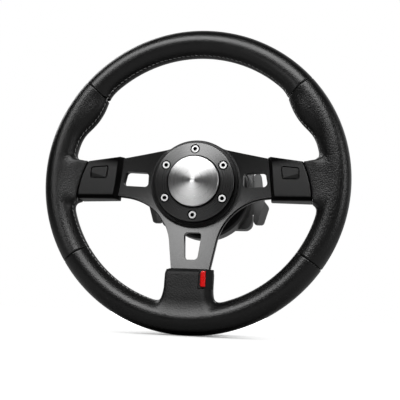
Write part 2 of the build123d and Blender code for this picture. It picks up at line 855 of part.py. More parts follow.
pod_screw_seat_y = pod_back_y - m3_head_height
right_pod_screws = socket_screws(
    pod_screw_seat_y,
    pod_screw_places,
    m3_radius,
    pod_screw_seat_y - pod_split_y + pod_screw_reach,
    m3_head_radius,
    m3_head_height,
    m3_socket,
    facing=1,
)
save_lifted(right_pod_screws + mirror(right_pod_screws, about=Plane.YZ), "pod_screws")

# ------------------------------------------------------------------ red button in the gaiter
gaiter_slope = Plane(
    origin=(0, rim_y + gaiter_front, gaiter_top),
    z_dir=(0, -cos(radians(sleeve_rise)), sin(radians(sleeve_rise))),
)


def red_outline(growth):
    """Red button from the front, its outer corners rounded, grown all round."""
    with BuildSketch() as face:
        with Locations(red_middle):
            Rectangle(red_right - red_left, red_height)
        fillet(face.vertices().group_by(Axis.X)[0], red_corner)
        offset(amount=growth, kind=Kind.INTERSECTION)
    return face.sketch


with BuildPart() as red_bezel:
    add(block(red_switch_y, bezel_left, bezel_side, bezel_low, bezel_high, grip_depth))
    split(bisect_by=gaiter_slope.offset(-bezel_sink), keep=Keep.BOTTOM)
    guard_inner = red_right + red_clearance
    with BuildSketch(across(red_switch_y)) as guard:
        with Locations(((guard_inner + bezel_side) / 2, (bezel_low + bezel_high) / 2)):
            Rectangle(bezel_side - guard_inner, bezel_high - bezel_low)
        fillet(guard.vertices().group_by(Axis.X)[-1], guard_corner)
    extrude(amount=grip_depth)
    guard_slant = Plane(
        origin=(guard_inner, rim_y + guard_front, 0),
        z_dir=(guard_slope, guard_inner - bezel_side, 0),
    )
    split(bisect_by=guard_slant, keep=Keep.BOTTOM)
    fillet(red_bezel.edges().group_by(Axis.Y)[0], guard_round)
    with BuildSketch(across(bezel_y)):
        add(red_outline(red_clearance))
    extrude(amount=grip_depth, mode=Mode.SUBTRACT)
    add(rod(red_switch_y, red_plunger_radius + hole_gap, bezel_floor, red_middle), mode=Mode.SUBTRACT)
save_lifted(red_bezel.part, "red_button_bezel")

with BuildPart() as red_button:
    with BuildSketch(across(rim_y + red_back)):
        add(red_outline(0))
    extrude(amount=red_back - red_front)
    fillet(red_button.faces().sort_by(Axis.Y)[0].edges(), red_round)
save_lifted(red_button.part, "red_button")

with BuildPart() as red_switch:
    with BuildSketch(across(red_switch_y + switch_height)):
        with Locations(red_middle):
            Rectangle(switch_size, switch_size)
    extrude(amount=switch_height)
    add(rod(red_switch_y, red_plunger_radius, bezel_floor + button_play, red_middle))
save_lifted(red_switch.part, "red_button_switch")

# ------------------------------------------------------------------ clamp ring
with BuildPart() as base_ring:
    revolve(
        turned(
            (ring_inner_radius, base_ring_y),
            (base_ring_radius, base_ring_y),
            (base_ring_radius, hub_y),
            (ring_inner_radius, hub_y),
        ),
        axis=Axis.Y,
    )
    chamfer(base_ring.edges().sort_by(Axis.Y)[:2].sort_by(SortBy.RADIUS)[-1], ring_edge)
    add(rod(hub_y, m5_radius + hole_gap, base_ring_height, *bolt_places), mode=Mode.SUBTRACT)
save(base_ring.part, "base_ring")

with BuildPart() as clamp_ring:
    revolve(
        turned(
            (ring_inner_radius, ring_face_y),
            (ring_outer_radius, ring_face_y + ring_fall),
            (ring_outer_radius + ring_edge, base_ring_y),
            (ring_inner_radius, base_ring_y),
        ),
        axis=Axis.Y,
    )
    outer_rims = clamp_ring.edges().filter_by(GeomType.CIRCLE).sort_by(SortBy.RADIUS)[-2:]
    fillet(outer_rims.sort_by(Axis.Y)[0], ring_edge)
    chamfer(clamp_ring.edges().group_by(Axis.Y)[0], ring_edge / 2)
    add(rod(base_ring_y, m5_radius + hole_gap, ring_height, *bolt_places), mode=Mode.SUBTRACT)
    add(rod(ring_seat_y, m5_counterbore_radius, ring_height, *bolt_places), mode=Mode.SUBTRACT)
save(clamp_ring.part, "clamp_ring")

ring_screw_length = spool_y + ring_screw_reach - ring_seat_y
save(
    socket_screws(
        ring_seat_y, bolt_places, m5_radius, ring_screw_length, m5_head_radius, m5_head_height, m5_socket
    ),
    "ring_screws",
)

# ------------------------------------------------------------------ horn push
cup_inside_y = cup_floor_y - cup_wall
cup_flange_y = hub_y - cup_flange
collar_y = horn_back_y + horn_travel + stop_gap
stem_clip_y = cup_floor_y + stem_clip_play + stem_clip_thickness
horn_seat_y = horn_back_y + horn_seat_height

with BuildPart() as horn_cup:
    revolve(
        turned(
            (collar_radius, cup_flange_y),
            (collar_radius, hub_y),
            (cup_radius, hub_y),
            (cup_radius, cup_floor_y),
            (horn_stem_radius + horn_stem_clearance, cup_floor_y),
            (horn_stem_radius + horn_stem_clearance, cup_inside_y),
            (cup_radius - cup_wall, cup_inside_y),
            (cup_radius - cup_wall, cup_flange_y),
        ),
        axis=Axis.Y,
    )
save(horn_cup.part, "horn_cup")

with BuildPart() as horn_collar:
    with BuildSketch(across(cup_flange_y)):
        add(annulus(collar_radius, collar_radius - collar_wall))
        with PolarLocations(collar_radius, collar_teeth):
            Circle(collar_tooth_radius, mode=Mode.SUBTRACT)
    extrude(amount=cup_flange_y - collar_y)
save(horn_collar.part, "horn_collar")

with BuildPart() as horn_cap:
    with BuildSketch(Plane.XY):
        with BuildLine():
            TangentArc((0, horn_edge_y - horn_dome), (horn_radius - horn_bevel, horn_edge_y), tangent=(1, 0))
            Polyline(
                (horn_radius - horn_bevel, horn_edge_y),
                (horn_radius, horn_edge_y + horn_bevel),
                (horn_radius, horn_back_y),
                (horn_seat_radius, horn_back_y),
                (horn_seat_radius, horn_seat_y),
                (horn_stem_radius, horn_seat_y),
                (horn_stem_radius, stem_clip_y - stem_clip_thickness),
                (horn_stem_radius - stem_clip_bite, stem_clip_y - stem_clip_thickness),
                (horn_stem_radius - stem_clip_bite, stem_clip_y),
                (horn_stem_radius, stem_clip_y),
                (horn_stem_radius, stem_end_y),
                (0, stem_end_y),
                (0, horn_edge_y - horn_dome),
            )
        make_face()
    revolve(axis=Axis.Y)
save(horn_cap.part, "horn_cap")

save(
    split_ring(
        stem_clip_y, stem_clip_radius, horn_stem_radius - stem_clip_bite, stem_clip_thickness, stem_clip_gap
    ),
    "horn_clip",
)

with BuildPart() as horn_spring:
    spring_rise = cup_inside_y - horn_seat_y - 2 * spring_wire
    spring_start = (0, horn_seat_y + spring_wire, 0)
    spring_pitch = spring_rise / spring_turns
    with BuildLine():
        coil = Helix(spring_pitch, spring_rise, spring_radius, center=spring_start, direction=(0, 1, 0))
    with BuildSketch(coil ^ 0):
        Circle(spring_wire)
    sweep()
save(horn_spring.part, "horn_spring")

with BuildPart() as horn_switch:
    add(rod(switch_base_y, horn_switch_radius, horn_switch_height, (0, 0)))
    fillet(horn_switch.edges().sort_by(Axis.Y)[0], ring_edge)
save(horn_switch.part, "horn_switch")

with BuildPart() as switch_base:
    add(
        rod(
            switch_base_y + switch_base_thickness,
            spool_bore_radius - switch_base_clearance,
            switch_base_thickness,
            (0, 0),
        )
    )
save(switch_base.part, "switch_base")

# ------------------------------------------------------------------ hub spool and drum
core_bolt_places = ring_places(core_bolt_circle, core_bolts, first=60.0)
spool_shoulder_y = switch_base_y + switch_base_thickness

with BuildPart() as hub_spool:
    with BuildSketch(Plane.XY) as spool_section:
        add(
            turned(
                (spool_bore_radius, spool_y),
                (spool_flange_radius, spool_y),
                (spool_flange_radius, spool_y + spool_flange),
                (spool_waist_radius, spool_y + spool_flange),
                (spool_waist_radius, drum_y - spool_flange),
                (spool_flange_radius, drum_y - spool_flange),
                (spool_flange_radius, drum_y),
                (spool_rear_bore_radius, drum_y),
                (spool_rear_bore_radius, spool_shoulder_y),
                (spool_bore_radius, spool_shoulder_y),
            )
        )
        waist = [v for v in spool_section.vertices() if abs(v.X - spool_waist_radius) < 0.01]
        fillet(waist, spool_fillet)
    revolve(axis=Axis.Y)
    add(rod(spool_y + spool_flange, m5_radius + thread_gap, spool_flange, *bolt_places), mode=Mode.SUBTRACT)
    add(rod(drum_y, m5_radius + hole_gap, spool_flange, *core_bolt_places), mode=Mode.SUBTRACT)
save(hub_spool.part, "hub_spool")

core_seat_y = drum_y - spool_flange
save(
    socket_screws(
        core_seat_y,
        core_bolt_places,
        m5_radius,
        core_y + core_flange - core_seat_y,
        m5_head_radius,
        m5_head_height,
        m5_socket,
    ),
    "spool_bolts",
)

drum_places = ring_places(drum_screw_circle, drum_screws, first=45.0)
with BuildPart() as drum_front:
    with BuildSketch(Plane.XY) as front_section:
        add(
            turned(
                (spool_rear_bore_radius, drum_y),
                (drum_radius, drum_y),
                (drum_radius, drum_split_y),
                (drum_radius - drum_wall, drum_split_y),
                (drum_radius - drum_wall, core_y),
                (spool_rear_bore_radius, core_y),
            )
        )
        fillet(front_section.vertices().sort_by(Axis.Y)[:2].sort_by(Axis.X)[-1], drum_edge)
    revolve(axis=Axis.Y)
    add(rod(drum_split_y, drum_boss_radius, drum_front_share - drum_wall / 2, *drum_places))
    add(rod(drum_split_y, m3_radius + thread_gap, drum_screw_reach + 1, *drum_places), mode=Mode.SUBTRACT)
    add(rod(core_y, m5_radius + hole_gap, drum_wall, *core_bolt_places), mode=Mode.SUBTRACT)
save(drum_front.part, "drum_front")

control_places = ring_places(control_post_circle, drum_screws)
control_y = housing_y - drum_wall - control_standoff
with BuildPart() as drum_back:
    with BuildSketch(Plane.XY):
        add(
            turned(
                (drum_radius, drum_split_y),
                (drum_radius, housing_y),
                (core_radius + core_clearance, housing_y),
                (core_radius + core_clearance, housing_y - drum_wall),
                (drum_radius - drum_wall, housing_y - drum_wall),
                (drum_radius - drum_wall, drum_split_y),
            )
        )
    revolve(axis=Axis.Y)
    add(rod(housing_y, drum_boss_radius, drum_depth - drum_front_share, *drum_places))
    post_y = housing_y - drum_wall / 2
    add(rod(post_y, control_post_radius, post_y - control_y, *control_places))
    add(rod(housing_y, m3_radius + hole_gap, drum_depth, *drum_places), mode=Mode.SUBTRACT)
    add(rod(housing_y, m3_head_radius + hole_gap, m3_head_height, *drum_places), mode=Mode.SUBTRACT)
save(drum_back.part, "drum_back")

drum_seat_y = housing_y - m3_head_height
save(
    socket_screws(
        drum_seat_y,
        drum_places,
        m3_radius,
        drum_seat_y - drum_split_y + drum_screw_reach,
        m3_head_radius,
        m3_head_height,
        m3_socket,
        facing=1,
    ),
    "drum_screws",
)

with BuildPart() as control_board:
    with BuildSketch(across(control_y)):
        add(annulus(control_outer_radius, control_inner_radius))
    extrude(amount=board_thickness)
save(control_board.part, "control_board")

coupler_places = ring_places(coupler_screw_circle, coupler_screws, first=45.0)
with BuildPart() as hub_core:
    revolve(
        turned(
            (core_bore_radius, core_y),
            (core_flange_radius, core_y),
            (core_flange_radius, core_y + core_flange),
            (core_radius, core_y + core_flange),
            (core_radius, coupler_y),
            (core_bore_radius, coupler_y),
        ),
        axis=Axis.Y,
    )
    add(rod(core_y + core_flange, m5_radius + thread_gap, core_flange, *core_bolt_places), mode=Mode.SUBTRACT)
    add(rod(coupler_y, m4_radius + thread_gap, m4_reach + 1, *coupler_places), mode=Mode.SUBTRACT)
save(hub_core.part, "hub_core")

# ------------------------------------------------------------------ shifter housing and paddles
hinge_y = housing_y + hinge_depth
paddle_front_y = housing_y + paddle_front_gap
pocket_front_y = housing_y + housing_wall
magnet_y = hinge_y - lever_half_thickness

with BuildPart() as shifter_housing:
    with BuildSketch(across(coupler_y)):
        RectangleRounded(2 * housing_half_width, 2 * housing_half_height, housing_corner)
        Circle(core_radius + core_clearance, mode=Mode.SUBTRACT)
    extrude(amount=housing_depth)
    for side in (1, -1):
        low, high = sorted((side * pocket_inner, side * (housing_half_width + 1)))
        pocket = block(
            coupler_y, low, high, -pocket_half_height, pocket_half_height, coupler_y - pocket_front_y
        )
        add(pocket, mode=Mode.SUBTRACT)
        with BuildSketch(Plane.XY.offset(-pocket_half_height - paddle_pin_reach)):
            with Locations((side * hinge_x, hinge_y)):
                Circle(paddle_pin_radius + paddle_pin_clearance)
        extrude(amount=2 * (pocket_half_height + paddle_pin_reach), mode=Mode.SUBTRACT)
save(shifter_housing.part, "shifter_housing")



def facet_plane(upper, lower):
    """Slanting plane that takes the front edge off the paddle between two of its outer corners."""
    run = Vector(upper[0] - lower[0], 0, upper[1] - lower[1]).normalized()
    outward = Vector(run.Z, 0, -run.X)
    return Plane(
        origin=(lower[0], paddle_front_y + paddle_facet_depth, lower[1]),
        z_dir=outward * paddle_facet_depth - Vector(0, paddle_facet, 0),
    )


knuckle_half = pocket_half_height - knuckle_gap
lever_root = hinge_x - (knuckle_radius + paddle_pin_radius) / 2
with BuildPart() as paddle:
    with BuildSketch(across(paddle_front_y + paddle_thickness)) as blade:
        add(
            outline(
                (paddle_inner, paddle_top),
                (paddle_top_x, paddle_top),
                (paddle_shoulder_x, paddle_shoulder_z),
                (paddle_wide_x, paddle_wide_z),
                (paddle_bottom_x, paddle_bottom),
                (paddle_inner, paddle_bottom),
            )
        )
        fillet(blade.vertices(), paddle_corner)
    extrude(amount=paddle_thickness)
    split(
        bisect_by=facet_plane((paddle_wide_x, paddle_wide_z), (paddle_bottom_x, paddle_bottom)),
        keep=Keep.BOTTOM,
    )
    with BuildSketch(Plane.XY.offset(-knuckle_half)):
        with Locations((hinge_x, hinge_y)):
            Circle(knuckle_radius)
        with Locations(((hinge_x + paddle_inner + paddle_web) / 2, hinge_y)):
            Rectangle(paddle_inner + paddle_web - hinge_x, 2 * paddle_web)
        with Locations((hinge_x, hinge_y)):
            Circle(paddle_pin_radius + paddle_pin_clearance, mode=Mode.SUBTRACT)
    extrude(amount=2 * knuckle_half)
    with BuildSketch(Plane.XY.offset(-lever_half_height)):
        with Locations(((lever_inner + lever_root) / 2, hinge_y)):
            Rectangle(lever_root - lever_inner, 2 * lever_half_thickness)
    extrude(amount=2 * lever_half_height)
save(paddle.part, "right_paddle")
save(mirror(paddle.part, about=Plane.YZ), "left_paddle")

with BuildPart() as paddle_pin:
    with BuildSketch(Plane.XY.offset(-pocket_half_height - paddle_pin_reach)):
        with Locations((hinge_x, hinge_y)):
            Circle(paddle_pin_radius)
    extrude(amount=2 * (pocket_half_height + paddle_pin_reach))
save(paddle_pin.part + mirror(paddle_pin.part, about=Plane.YZ), "paddle_pins")

right_magnet = rod(magnet_y, magnet_radius, magnet_thickness, (magnet_x, 0))
save(right_magnet, "right_paddle_magnet")
save(mirror(right_magnet, about=Plane.YZ), "left_paddle_magnet")
sensor = rod(pocket_front_y + sensor_thickness, magnet_radius, sensor_thickness, (magnet_x, 0))
save(sensor + mirror(sensor, about=Plane.YZ), "paddle_sensors")

# ------------------------------------------------------------------ coupling
barrel_y = coupler_y + coupler_flange
bore_floor_y = -coupler_bore_depth
coupler_seat_y = -m4_head_height
clip_back_y = barrel_y + 2 * lock_ring_play + lock_ring_length + clip_section

with BuildPart() as coupler_body:
    revolve(
        turned(
            (connector_radius, coupler_y),
            (coupler_flange_radius, coupler_y),
            (coupler_flange_radius, barrel_y),
            (coupler_radius, barrel_y),
            (coupler_radius, clip_back_y - clip_section),
            (coupler_radius - clip_bite, clip_back_y - clip_section),
            (coupler_radius - clip_bite, clip_back_y),
            (coupler_radius, clip_back_y),
            (coupler_radius, -coupler_edge),
            (coupler_radius - coupler_edge, 0),
            (coupler_bore_radius, 0),
            (coupler_bore_radius, bore_floor_y),
            (connector_radius, bore_floor_y),
        ),
        axis=Axis.Y,
    )
    key_top = coupler_bore_radius + keyway_depth
    add(block(0, -keyway_width / 2, keyway_width / 2, 0, key_top, coupler_bore_depth), mode=Mode.SUBTRACT)
    add(rod(0, m4_radius + hole_gap, -coupler_y, *coupler_places), mode=Mode.SUBTRACT)
    add(rod(0, m4_counterbore_radius, m4_head_height, *coupler_places), mode=Mode.SUBTRACT)
save(coupler_body.part, "coupler_body")

save(
    socket_screws(
        coupler_seat_y,
        coupler_places,
        m4_radius,
        coupler_seat_y - coupler_y + m4_reach,
        m4_head_radius,
        m4_head_height,
        m4_socket,
        facing=1,
    ),
    "coupler_screws",
)

with BuildPart() as lock_ring:
    with BuildSketch(across(barrel_y + lock_ring_play + lock_ring_length)):
        add(annulus(lock_ring_radius, coupler_radius + lock_ring_clearance))
        with PolarLocations(lock_ring_radius + flute_radius / 2, lock_ring_flutes):
            Circle(flute_radius, mode=Mode.SUBTRACT)
    extrude(amount=lock_ring_length)
save(lock_ring.part, "lock_ring")

save(
    split_ring(
        clip_back_y, coupler_radius + clip_stand, coupler_radius - clip_bite, clip_section, clip_gap
    ),
    "retaining_clip",
)

with BuildPart() as connector:
    add(rod(bore_floor_y, connector_radius, connector_length, (0, 0)))
    add(rod(bore_floor_y, connector_socket_radius, connector_socket_depth, (0, 0)), mode=Mode.SUBTRACT)
    pin_places = ring_places(pin_circle, connector_pins)
    add(rod(bore_floor_y - pin_radius, pin_radius, connector_socket_depth, *pin_places))
save(connector.part, "connector")
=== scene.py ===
import math

import bmesh
import bpy
import numpy as np
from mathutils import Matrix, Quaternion, Vector


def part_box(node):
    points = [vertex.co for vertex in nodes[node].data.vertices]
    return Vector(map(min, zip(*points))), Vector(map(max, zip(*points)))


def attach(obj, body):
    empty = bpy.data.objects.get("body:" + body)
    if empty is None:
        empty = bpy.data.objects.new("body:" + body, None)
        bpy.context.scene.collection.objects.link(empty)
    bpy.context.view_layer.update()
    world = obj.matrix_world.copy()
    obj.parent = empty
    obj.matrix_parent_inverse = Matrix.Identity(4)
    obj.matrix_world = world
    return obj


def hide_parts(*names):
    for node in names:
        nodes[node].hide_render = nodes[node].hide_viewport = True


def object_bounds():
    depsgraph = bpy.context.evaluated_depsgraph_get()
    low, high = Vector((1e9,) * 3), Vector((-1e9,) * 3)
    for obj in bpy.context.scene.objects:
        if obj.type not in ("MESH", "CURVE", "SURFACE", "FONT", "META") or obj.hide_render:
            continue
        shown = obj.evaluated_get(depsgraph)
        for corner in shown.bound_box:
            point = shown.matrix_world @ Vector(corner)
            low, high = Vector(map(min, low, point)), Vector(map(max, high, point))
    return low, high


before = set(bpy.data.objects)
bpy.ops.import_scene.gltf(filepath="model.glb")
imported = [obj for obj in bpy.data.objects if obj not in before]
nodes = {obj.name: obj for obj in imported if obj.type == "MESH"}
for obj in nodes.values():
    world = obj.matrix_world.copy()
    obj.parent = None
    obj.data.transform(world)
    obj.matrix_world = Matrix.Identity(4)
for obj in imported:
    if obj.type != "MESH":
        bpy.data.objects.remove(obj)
cad_box = [list(corner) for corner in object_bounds()]

# Shapes are drawn in millimetres from the rim's centre: +X to the driver's right, +Y away from the
# driver, +Z up. Places along the rim are in degrees from the top of the wheel.
MM = 0.001
rim_low, rim_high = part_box("rim_foam")
RIM = Vector([(low + high) / 2 for low, high in zip(rim_low, rim_high)])
GRIP_HALF = np.array([14.7, 16.0])  # half the grip's width and depth
GRIP_RADIUS = 160.0 - GRIP_HALF[0]  # of the line that the grip is swept along
UPPER_SEAM = 49.3
LOWER_SEAM = 124.9
SEAM_GAP = 0.12  # from the middle of a seam to the panel's edge
STITCH_DEPTH = 4.8  # the closing seam stands this far in front of the rim's mid-plane


# ---------------------------------------------------------------- small tools
def paint(code):
    """Hex colour, as a paint chart gives it, turned to the linear values a shader takes."""
    values = [int(code[i : i + 2], 16) / 255 for i in (1, 3, 5)]
    return [v / 12.92 if v <= 0.04045 else ((v + 0.055) / 1.055) ** 2.4 for v in values] + [1.0]


WHITE = paint("#ffffff")


def put(tree, kind, inputs=None, **settings):
    """Adds a node: settings are its properties, inputs its values or the sockets that feed it."""
    node = tree.nodes.new(kind)
    for name, value in settings.items():
        setattr(node, name, value)
    for name, value in (inputs or {}).items():
        if isinstance(value, bpy.types.NodeSocket):
            tree.links.new(value, node.inputs[name])
        else:
            node.inputs[name].default_value = value
    return node


def blank_tree(owner):
    """Empty node tree of a material or world."""
    owner.use_nodes = True
    owner.node_tree.nodes.clear()
    return owner.node_tree


def blank_material(name, **sockets):
    """Material with a Principled shader whose constants are set on its own sockets."""
    material = bpy.data.materials.new(name)
    tree = blank_tree(material)
    shader = put(tree, "ShaderNodeBsdfPrincipled", sockets)
    put(tree, "ShaderNodeOutputMaterial", {"Surface": shader.outputs[0]})
    return material, tree, shader


def added(name, data):
    """New object in the scene."""
    thing = bpy.data.objects.new(name, data)
    bpy.context.scene.collection.objects.link(thing)
    return thing


def mesh_piece(name, material, points=(), edges=()):
    """Piece from points in millimetres about the rim's centre."""
    mesh = bpy.data.meshes.new(name)
    mesh.from_pydata((np.reshape(points, (-1, 3)) * MM + np.array(RIM)).tolist(), edges, [])
    mesh.materials.append(material)
    return added(name, mesh)


def evaluated_mesh(piece):
    """Plain mesh of what a piece's modifiers make of it."""
    bpy.context.view_layer.update()
    return bpy.data.meshes.new_from_object(
        piece.evaluated_get(bpy.context.evaluated_depsgraph_get())
    )


def wear(material, *names):
    """Gives CAD nodes a finish."""
    for name in names:
        for slot in nodes[name].material_slots:
            slot.material = material


def softened(width, *names):
    """Rounds the sharp edges of CAD nodes, by a width in millimetres."""
    for name in names:
        edge = nodes[name].modifiers.new("edges", "BEVEL")
        edge.width = width * MM
        edge.segments = 3
        edge.limit_method = "ANGLE"
        edge.angle_limit = math.radians(40)
        edge.harden_normals = True


# ---------------------------------------------------------------- camera
VIEWPOINT = Vector((131.34, -673.81, -136.84)) * MM  # from the rim's centre
ROLL = math.radians(2.57)
camera = added("camera", bpy.data.cameras.new("camera"))
bpy.context.scene.camera = camera
bpy.context.scene.view_settings.view_transform = "Standard"
camera.location = RIM + VIEWPOINT
camera.rotation_mode = "QUATERNION"
aim = (RIM - camera.location).to_track_quat("-Z", "Y")
camera.rotation_quaternion = aim @ Quaternion((0, 0, 1), ROLL)
camera.data.lens = 60.87
camera.data.shift_x = 0.0175
camera.data.shift_y = -0.057
camera.data.clip_start = 0.01


# ---------------------------------------------------------------- floor and light
def soft_box(name, place, width, height, power):
    """Rectangular studio lamp that faces the rim's centre; place is in metres from it."""
    lamp = bpy.data.lights.new(name, "AREA")
    lamp.shape = "RECTANGLE"
    lamp.size = width
    lamp.size_y = height
    lamp.energy = power
    holder = added(name, lamp)
    holder.location = RIM + Vector(place)
    holder.rotation_mode = "QUATERNION"
    holder.rotation_quaternion = (RIM - holder.location).to_track_quat("-Z", "Y")
    return holder


# A large key from above, a box at each side, and one behind that edges the rim.
boxes = [
    soft_box("key", (0.12, -0.93, 0.83), 1.1, 0.7, 16.5),
    soft_box("left", (-0.62, -0.85, 0.78), 0.5, 0.6, 5.5),
    soft_box("right", (1.25, -0.33, 0.26), 0.25, 0.8, 3),
    soft_box("back", (-0.75, 0.65, 0.75), 0.7, 0.7, 4),
]
overhead = soft_box("overhead", (0.0, 0.0, 1.3), 0.6, 1.4, 26)

# Camera rays meet a white studio. Reflections meet a white backdrop behind the wheel, which edges
# it with light, and a dark room in front, so the lamps alone draw the highlights.
world = bpy.data.worlds.new("studio")
bpy.context.scene.world = world
air = blank_tree(world)
ray = put(air, "ShaderNodeLightPath")
way = put(air, "ShaderNodeSeparateXYZ", {0: put(air, "ShaderNodeTexCoord").outputs["Generated"]})
behind = put(air, "ShaderNodeMapRange", {0: way.outputs["Y"], 1: 0.2, 2: 0.8, 3: 0.02, 4: 0.6})
room = put(air, "ShaderNodeBackground", {"Color": WHITE, "Strength": behind.outputs[0]})
white = put(air, "ShaderNodeBackground", {"Color": WHITE, "Strength": 1.0})
sky = put(
    air,
    "ShaderNodeMixShader",
    {0: ray.outputs["Is Camera Ray"], 1: room.outputs[0], 2: white.outputs[0]},
)
put(air, "ShaderNodeOutputWorld", {"Surface": sky.outputs[0]})

FLOOR_Z = cad_box[0][2]
REACH = 4.0
floor_mesh = bpy.data.meshes.new("floor")
floor_mesh.from_pydata(
    [(x * REACH, y * REACH, FLOOR_Z) for x, y in ((-1, -1), (1, -1), (1, 1), (-1, 1))],
    [],
    [(0, 1, 2, 3)],
)
floor = added("floor", floor_mesh)

# White studio paper under a lamp of its own, which draws the wheel's shadow. Away from where the
# wheel stands, the camera sees it glow instead, the more the farther, so the sheet is white up to
# its far edge. Reflections see it grey.
paper = bpy.data.materials.new("white_paper")
sheet = blank_tree(paper)
ray = put(sheet, "ShaderNodeLightPath")
place = put(sheet, "ShaderNodeTexCoord").outputs["Object"]
stand = (RIM.x, RIM.y + 0.03, FLOOR_Z)  # the middle of the shadow of rim and hub
from_stand = put(sheet, "ShaderNodeVectorMath", {0: place, 1: stand}, operation="SUBTRACT")
away = put(sheet, "ShaderNodeVectorMath", {0: from_stand.outputs[0]}, operation="LENGTH")
power = put(
    sheet, "ShaderNodeMapRange", {0: away.outputs["Value"], 1: 0.1, 2: 0.5, 3: 1.0, 4: 2.4}
)
seen = put(sheet, "ShaderNodeBsdfDiffuse", {"Color": WHITE})
grey = put(sheet, "ShaderNodeBsdfDiffuse", {"Color": paint("#a0a0a0")})
lit = put(
    sheet,
    "ShaderNodeMixShader",
    {0: ray.outputs["Is Camera Ray"], 1: grey.outputs[0], 2: seen.outputs[0]},
)
glow = put(sheet, "ShaderNodeEmission", {"Color": WHITE, "Strength": power.outputs[0]})
clear = put(
    sheet, "ShaderNodeMapRange", {0: away.outputs["Value"], 1: 0.02, 2: 0.085, 3: 0.0, 4: 1.0}
)
share = put(
    sheet,
    "ShaderNodeMath",
    {0: ray.outputs["Is Camera Ray"], 1: clear.outputs[0]},
    operation="MULTIPLY",
)
mixed = put(
    sheet, "ShaderNodeMixShader", {0: share.outputs[0], 1: lit.outputs[0], 2: glow.outputs[0]}
)
put(sheet, "ShaderNodeOutputMaterial", {"Surface": mixed.outputs[0]})
floor_mesh.materials.append(paper)

# The overhead lamp lights the floor alone, and the boxes light everything else.
ground = bpy.data.collections.new("ground")
ground.objects.link(floor)
overhead.light_linking.receiver_collection = ground
off_ground = bpy.data.collections.new("off_ground")
off_ground.objects.link(floor)
off_ground.collection_objects[0].light_linking.link_state = "EXCLUDE"
for box in boxes:
    box.light_linking.receiver_collection = off_ground
# A tall strip, flagged off all but the top and left leather, draws a soft line down the left grip.
on_leather = bpy.data.collections.new("on_leather")
strip = soft_box("strip", (-0.6, -0.87, 0.18), 0.4, 0.9, 2)
strip.light_linking.receiver_collection = on_leather


# ---------------------------------------------------------------- finishes
def axis_distance(tree, place, centre=(0, 0, 0)):
    """Distance from the line through centre that runs along the steering axis."""
    beside = put(tree, "ShaderNodeVectorMath", {0: place, 1: tuple(centre)}, operation="SUBTRACT")
    flat = put(
        tree, "ShaderNodeVectorMath", {0: beside.outputs[0], 1: (1, 0, 1)}, operation="MULTIPLY"
    )
    length = put(tree, "ShaderNodeVectorMath", {0: flat.outputs[0]}, operation="LENGTH")
    return length.outputs["Value"]


def leather(name, grain, relief, roughness, sleeve_shade=None):
    """Dyed cowhide with a pressed pebble grain, whose small soft lights break up its shine: raised
    on the sleeves, and polished by the hands on the grip. grain and relief are in mm; the last
    argument, if given, is painted shade that darkens what a sleeve reflects."""
    material, tree, shader = blank_material(name, **{"Specular IOR Level": 0.45})
    place = put(tree, "ShaderNodeTexCoord").outputs["Object"]

    # Pebbles, their rows bent by a slow drift, with fine pores between them.
    drift = put(
        tree, "ShaderNodeTexNoise", {"Vector": place, "Scale": 1000 / (3 * grain), "Detail": 2.0}
    )
    bent = put(
        tree,
        "ShaderNodeVectorMath",
        {0: drift.outputs["Color"], 1: (0.35 * grain * MM,) * 3},
        operation="MULTIPLY",
    )
    moved = put(tree, "ShaderNodeVectorMath", {0: place, 1: bent.outputs[0]}, operation="ADD")
    cells = put(
        tree,
        "ShaderNodeTexVoronoi",
        {"Vector": moved.outputs[0], "Scale": 1000 / grain, "Smoothness": 0.6},
        feature="SMOOTH_F1",
    )
    pores = put(
        tree, "ShaderNodeTexNoise", {"Vector": place, "Scale": 2600 / grain, "Detail": 3.0}
    )
    height = put(
        tree,
        "ShaderNodeMath",
        {0: pores.outputs["Fac"], 1: 0.35, 2: cells.outputs["Distance"]},
        operation="MULTIPLY_ADD",
    )

    # Between 140 and 125 mm from the rim's centre the grip turns into a sleeve.
    sleeve = put(
        tree,
        "ShaderNodeMapRange",
        {0: axis_distance(tree, place, RIM), 1: 0.125, 2: 0.14, 3: 1.0, 4: 0.0},
    )
    raised = put(
        tree,
        "ShaderNodeMath",
        {0: sleeve.outputs[0], 1: 0.3 * relief * MM, 2: relief * MM},
        operation="MULTIPLY_ADD",
    )
    bump = put(
        tree,
        "ShaderNodeBump",
        {"Height": height.outputs[0], "Strength": 1.0, "Distance": raised.outputs[0]},
        invert=True,
    )
    patches = put(tree, "ShaderNodeTexNoise", {"Vector": place, "Scale": 45.0, "Detail": 2.0})
    uneven = put(
        tree,
        "ShaderNodeMapRange",
        {0: patches.outputs["Fac"], 1: 0.3, 2: 0.7, 3: roughness - 0.03, 4: roughness + 0.04},
    )
    rough = put(
        tree,
        "ShaderNodeMath",
        {0: sleeve.outputs[0], 1: 0.12, 2: uneven.outputs[0]},
        operation="MULTIPLY_ADD",
    )

    # The colour is darker in the creases between the pebbles: painted shade.
    painted_crease_shade = put(
        tree,
        "ShaderNodeMapRange",
        {0: cells.outputs["Distance"], 1: 0.1, 2: 0.7, 3: 0.0, 4: 1.0},
    )
    dye_and_crease_shade = put(
        tree,
        "ShaderNodeMix",
        {"Factor": painted_crease_shade.outputs[0], "A": paint("#090909"), "B": paint("#040404")},
        data_type="RGBA",
    )
    # Painted shade: the sleeves reflect less light than the grip.
    if sleeve_shade:
        shaded_reflection = put(
            tree,
            "ShaderNodeMix",
            {"Factor": sleeve.outputs[0], "A": WHITE, "B": paint(sleeve_shade)},
            data_type="RGBA",
        )
        tree.links.new(shaded_reflection.outputs["Result"], shader.inputs["Specular Tint"])
    tree.links.new(dye_and_crease_shade.outputs["Result"], shader.inputs["Base Color"])
    tree.links.new(rough.outputs[0], shader.inputs["Roughness"])
    tree.links.new(bump.outputs[0], shader.inputs["Normal"])
    return material


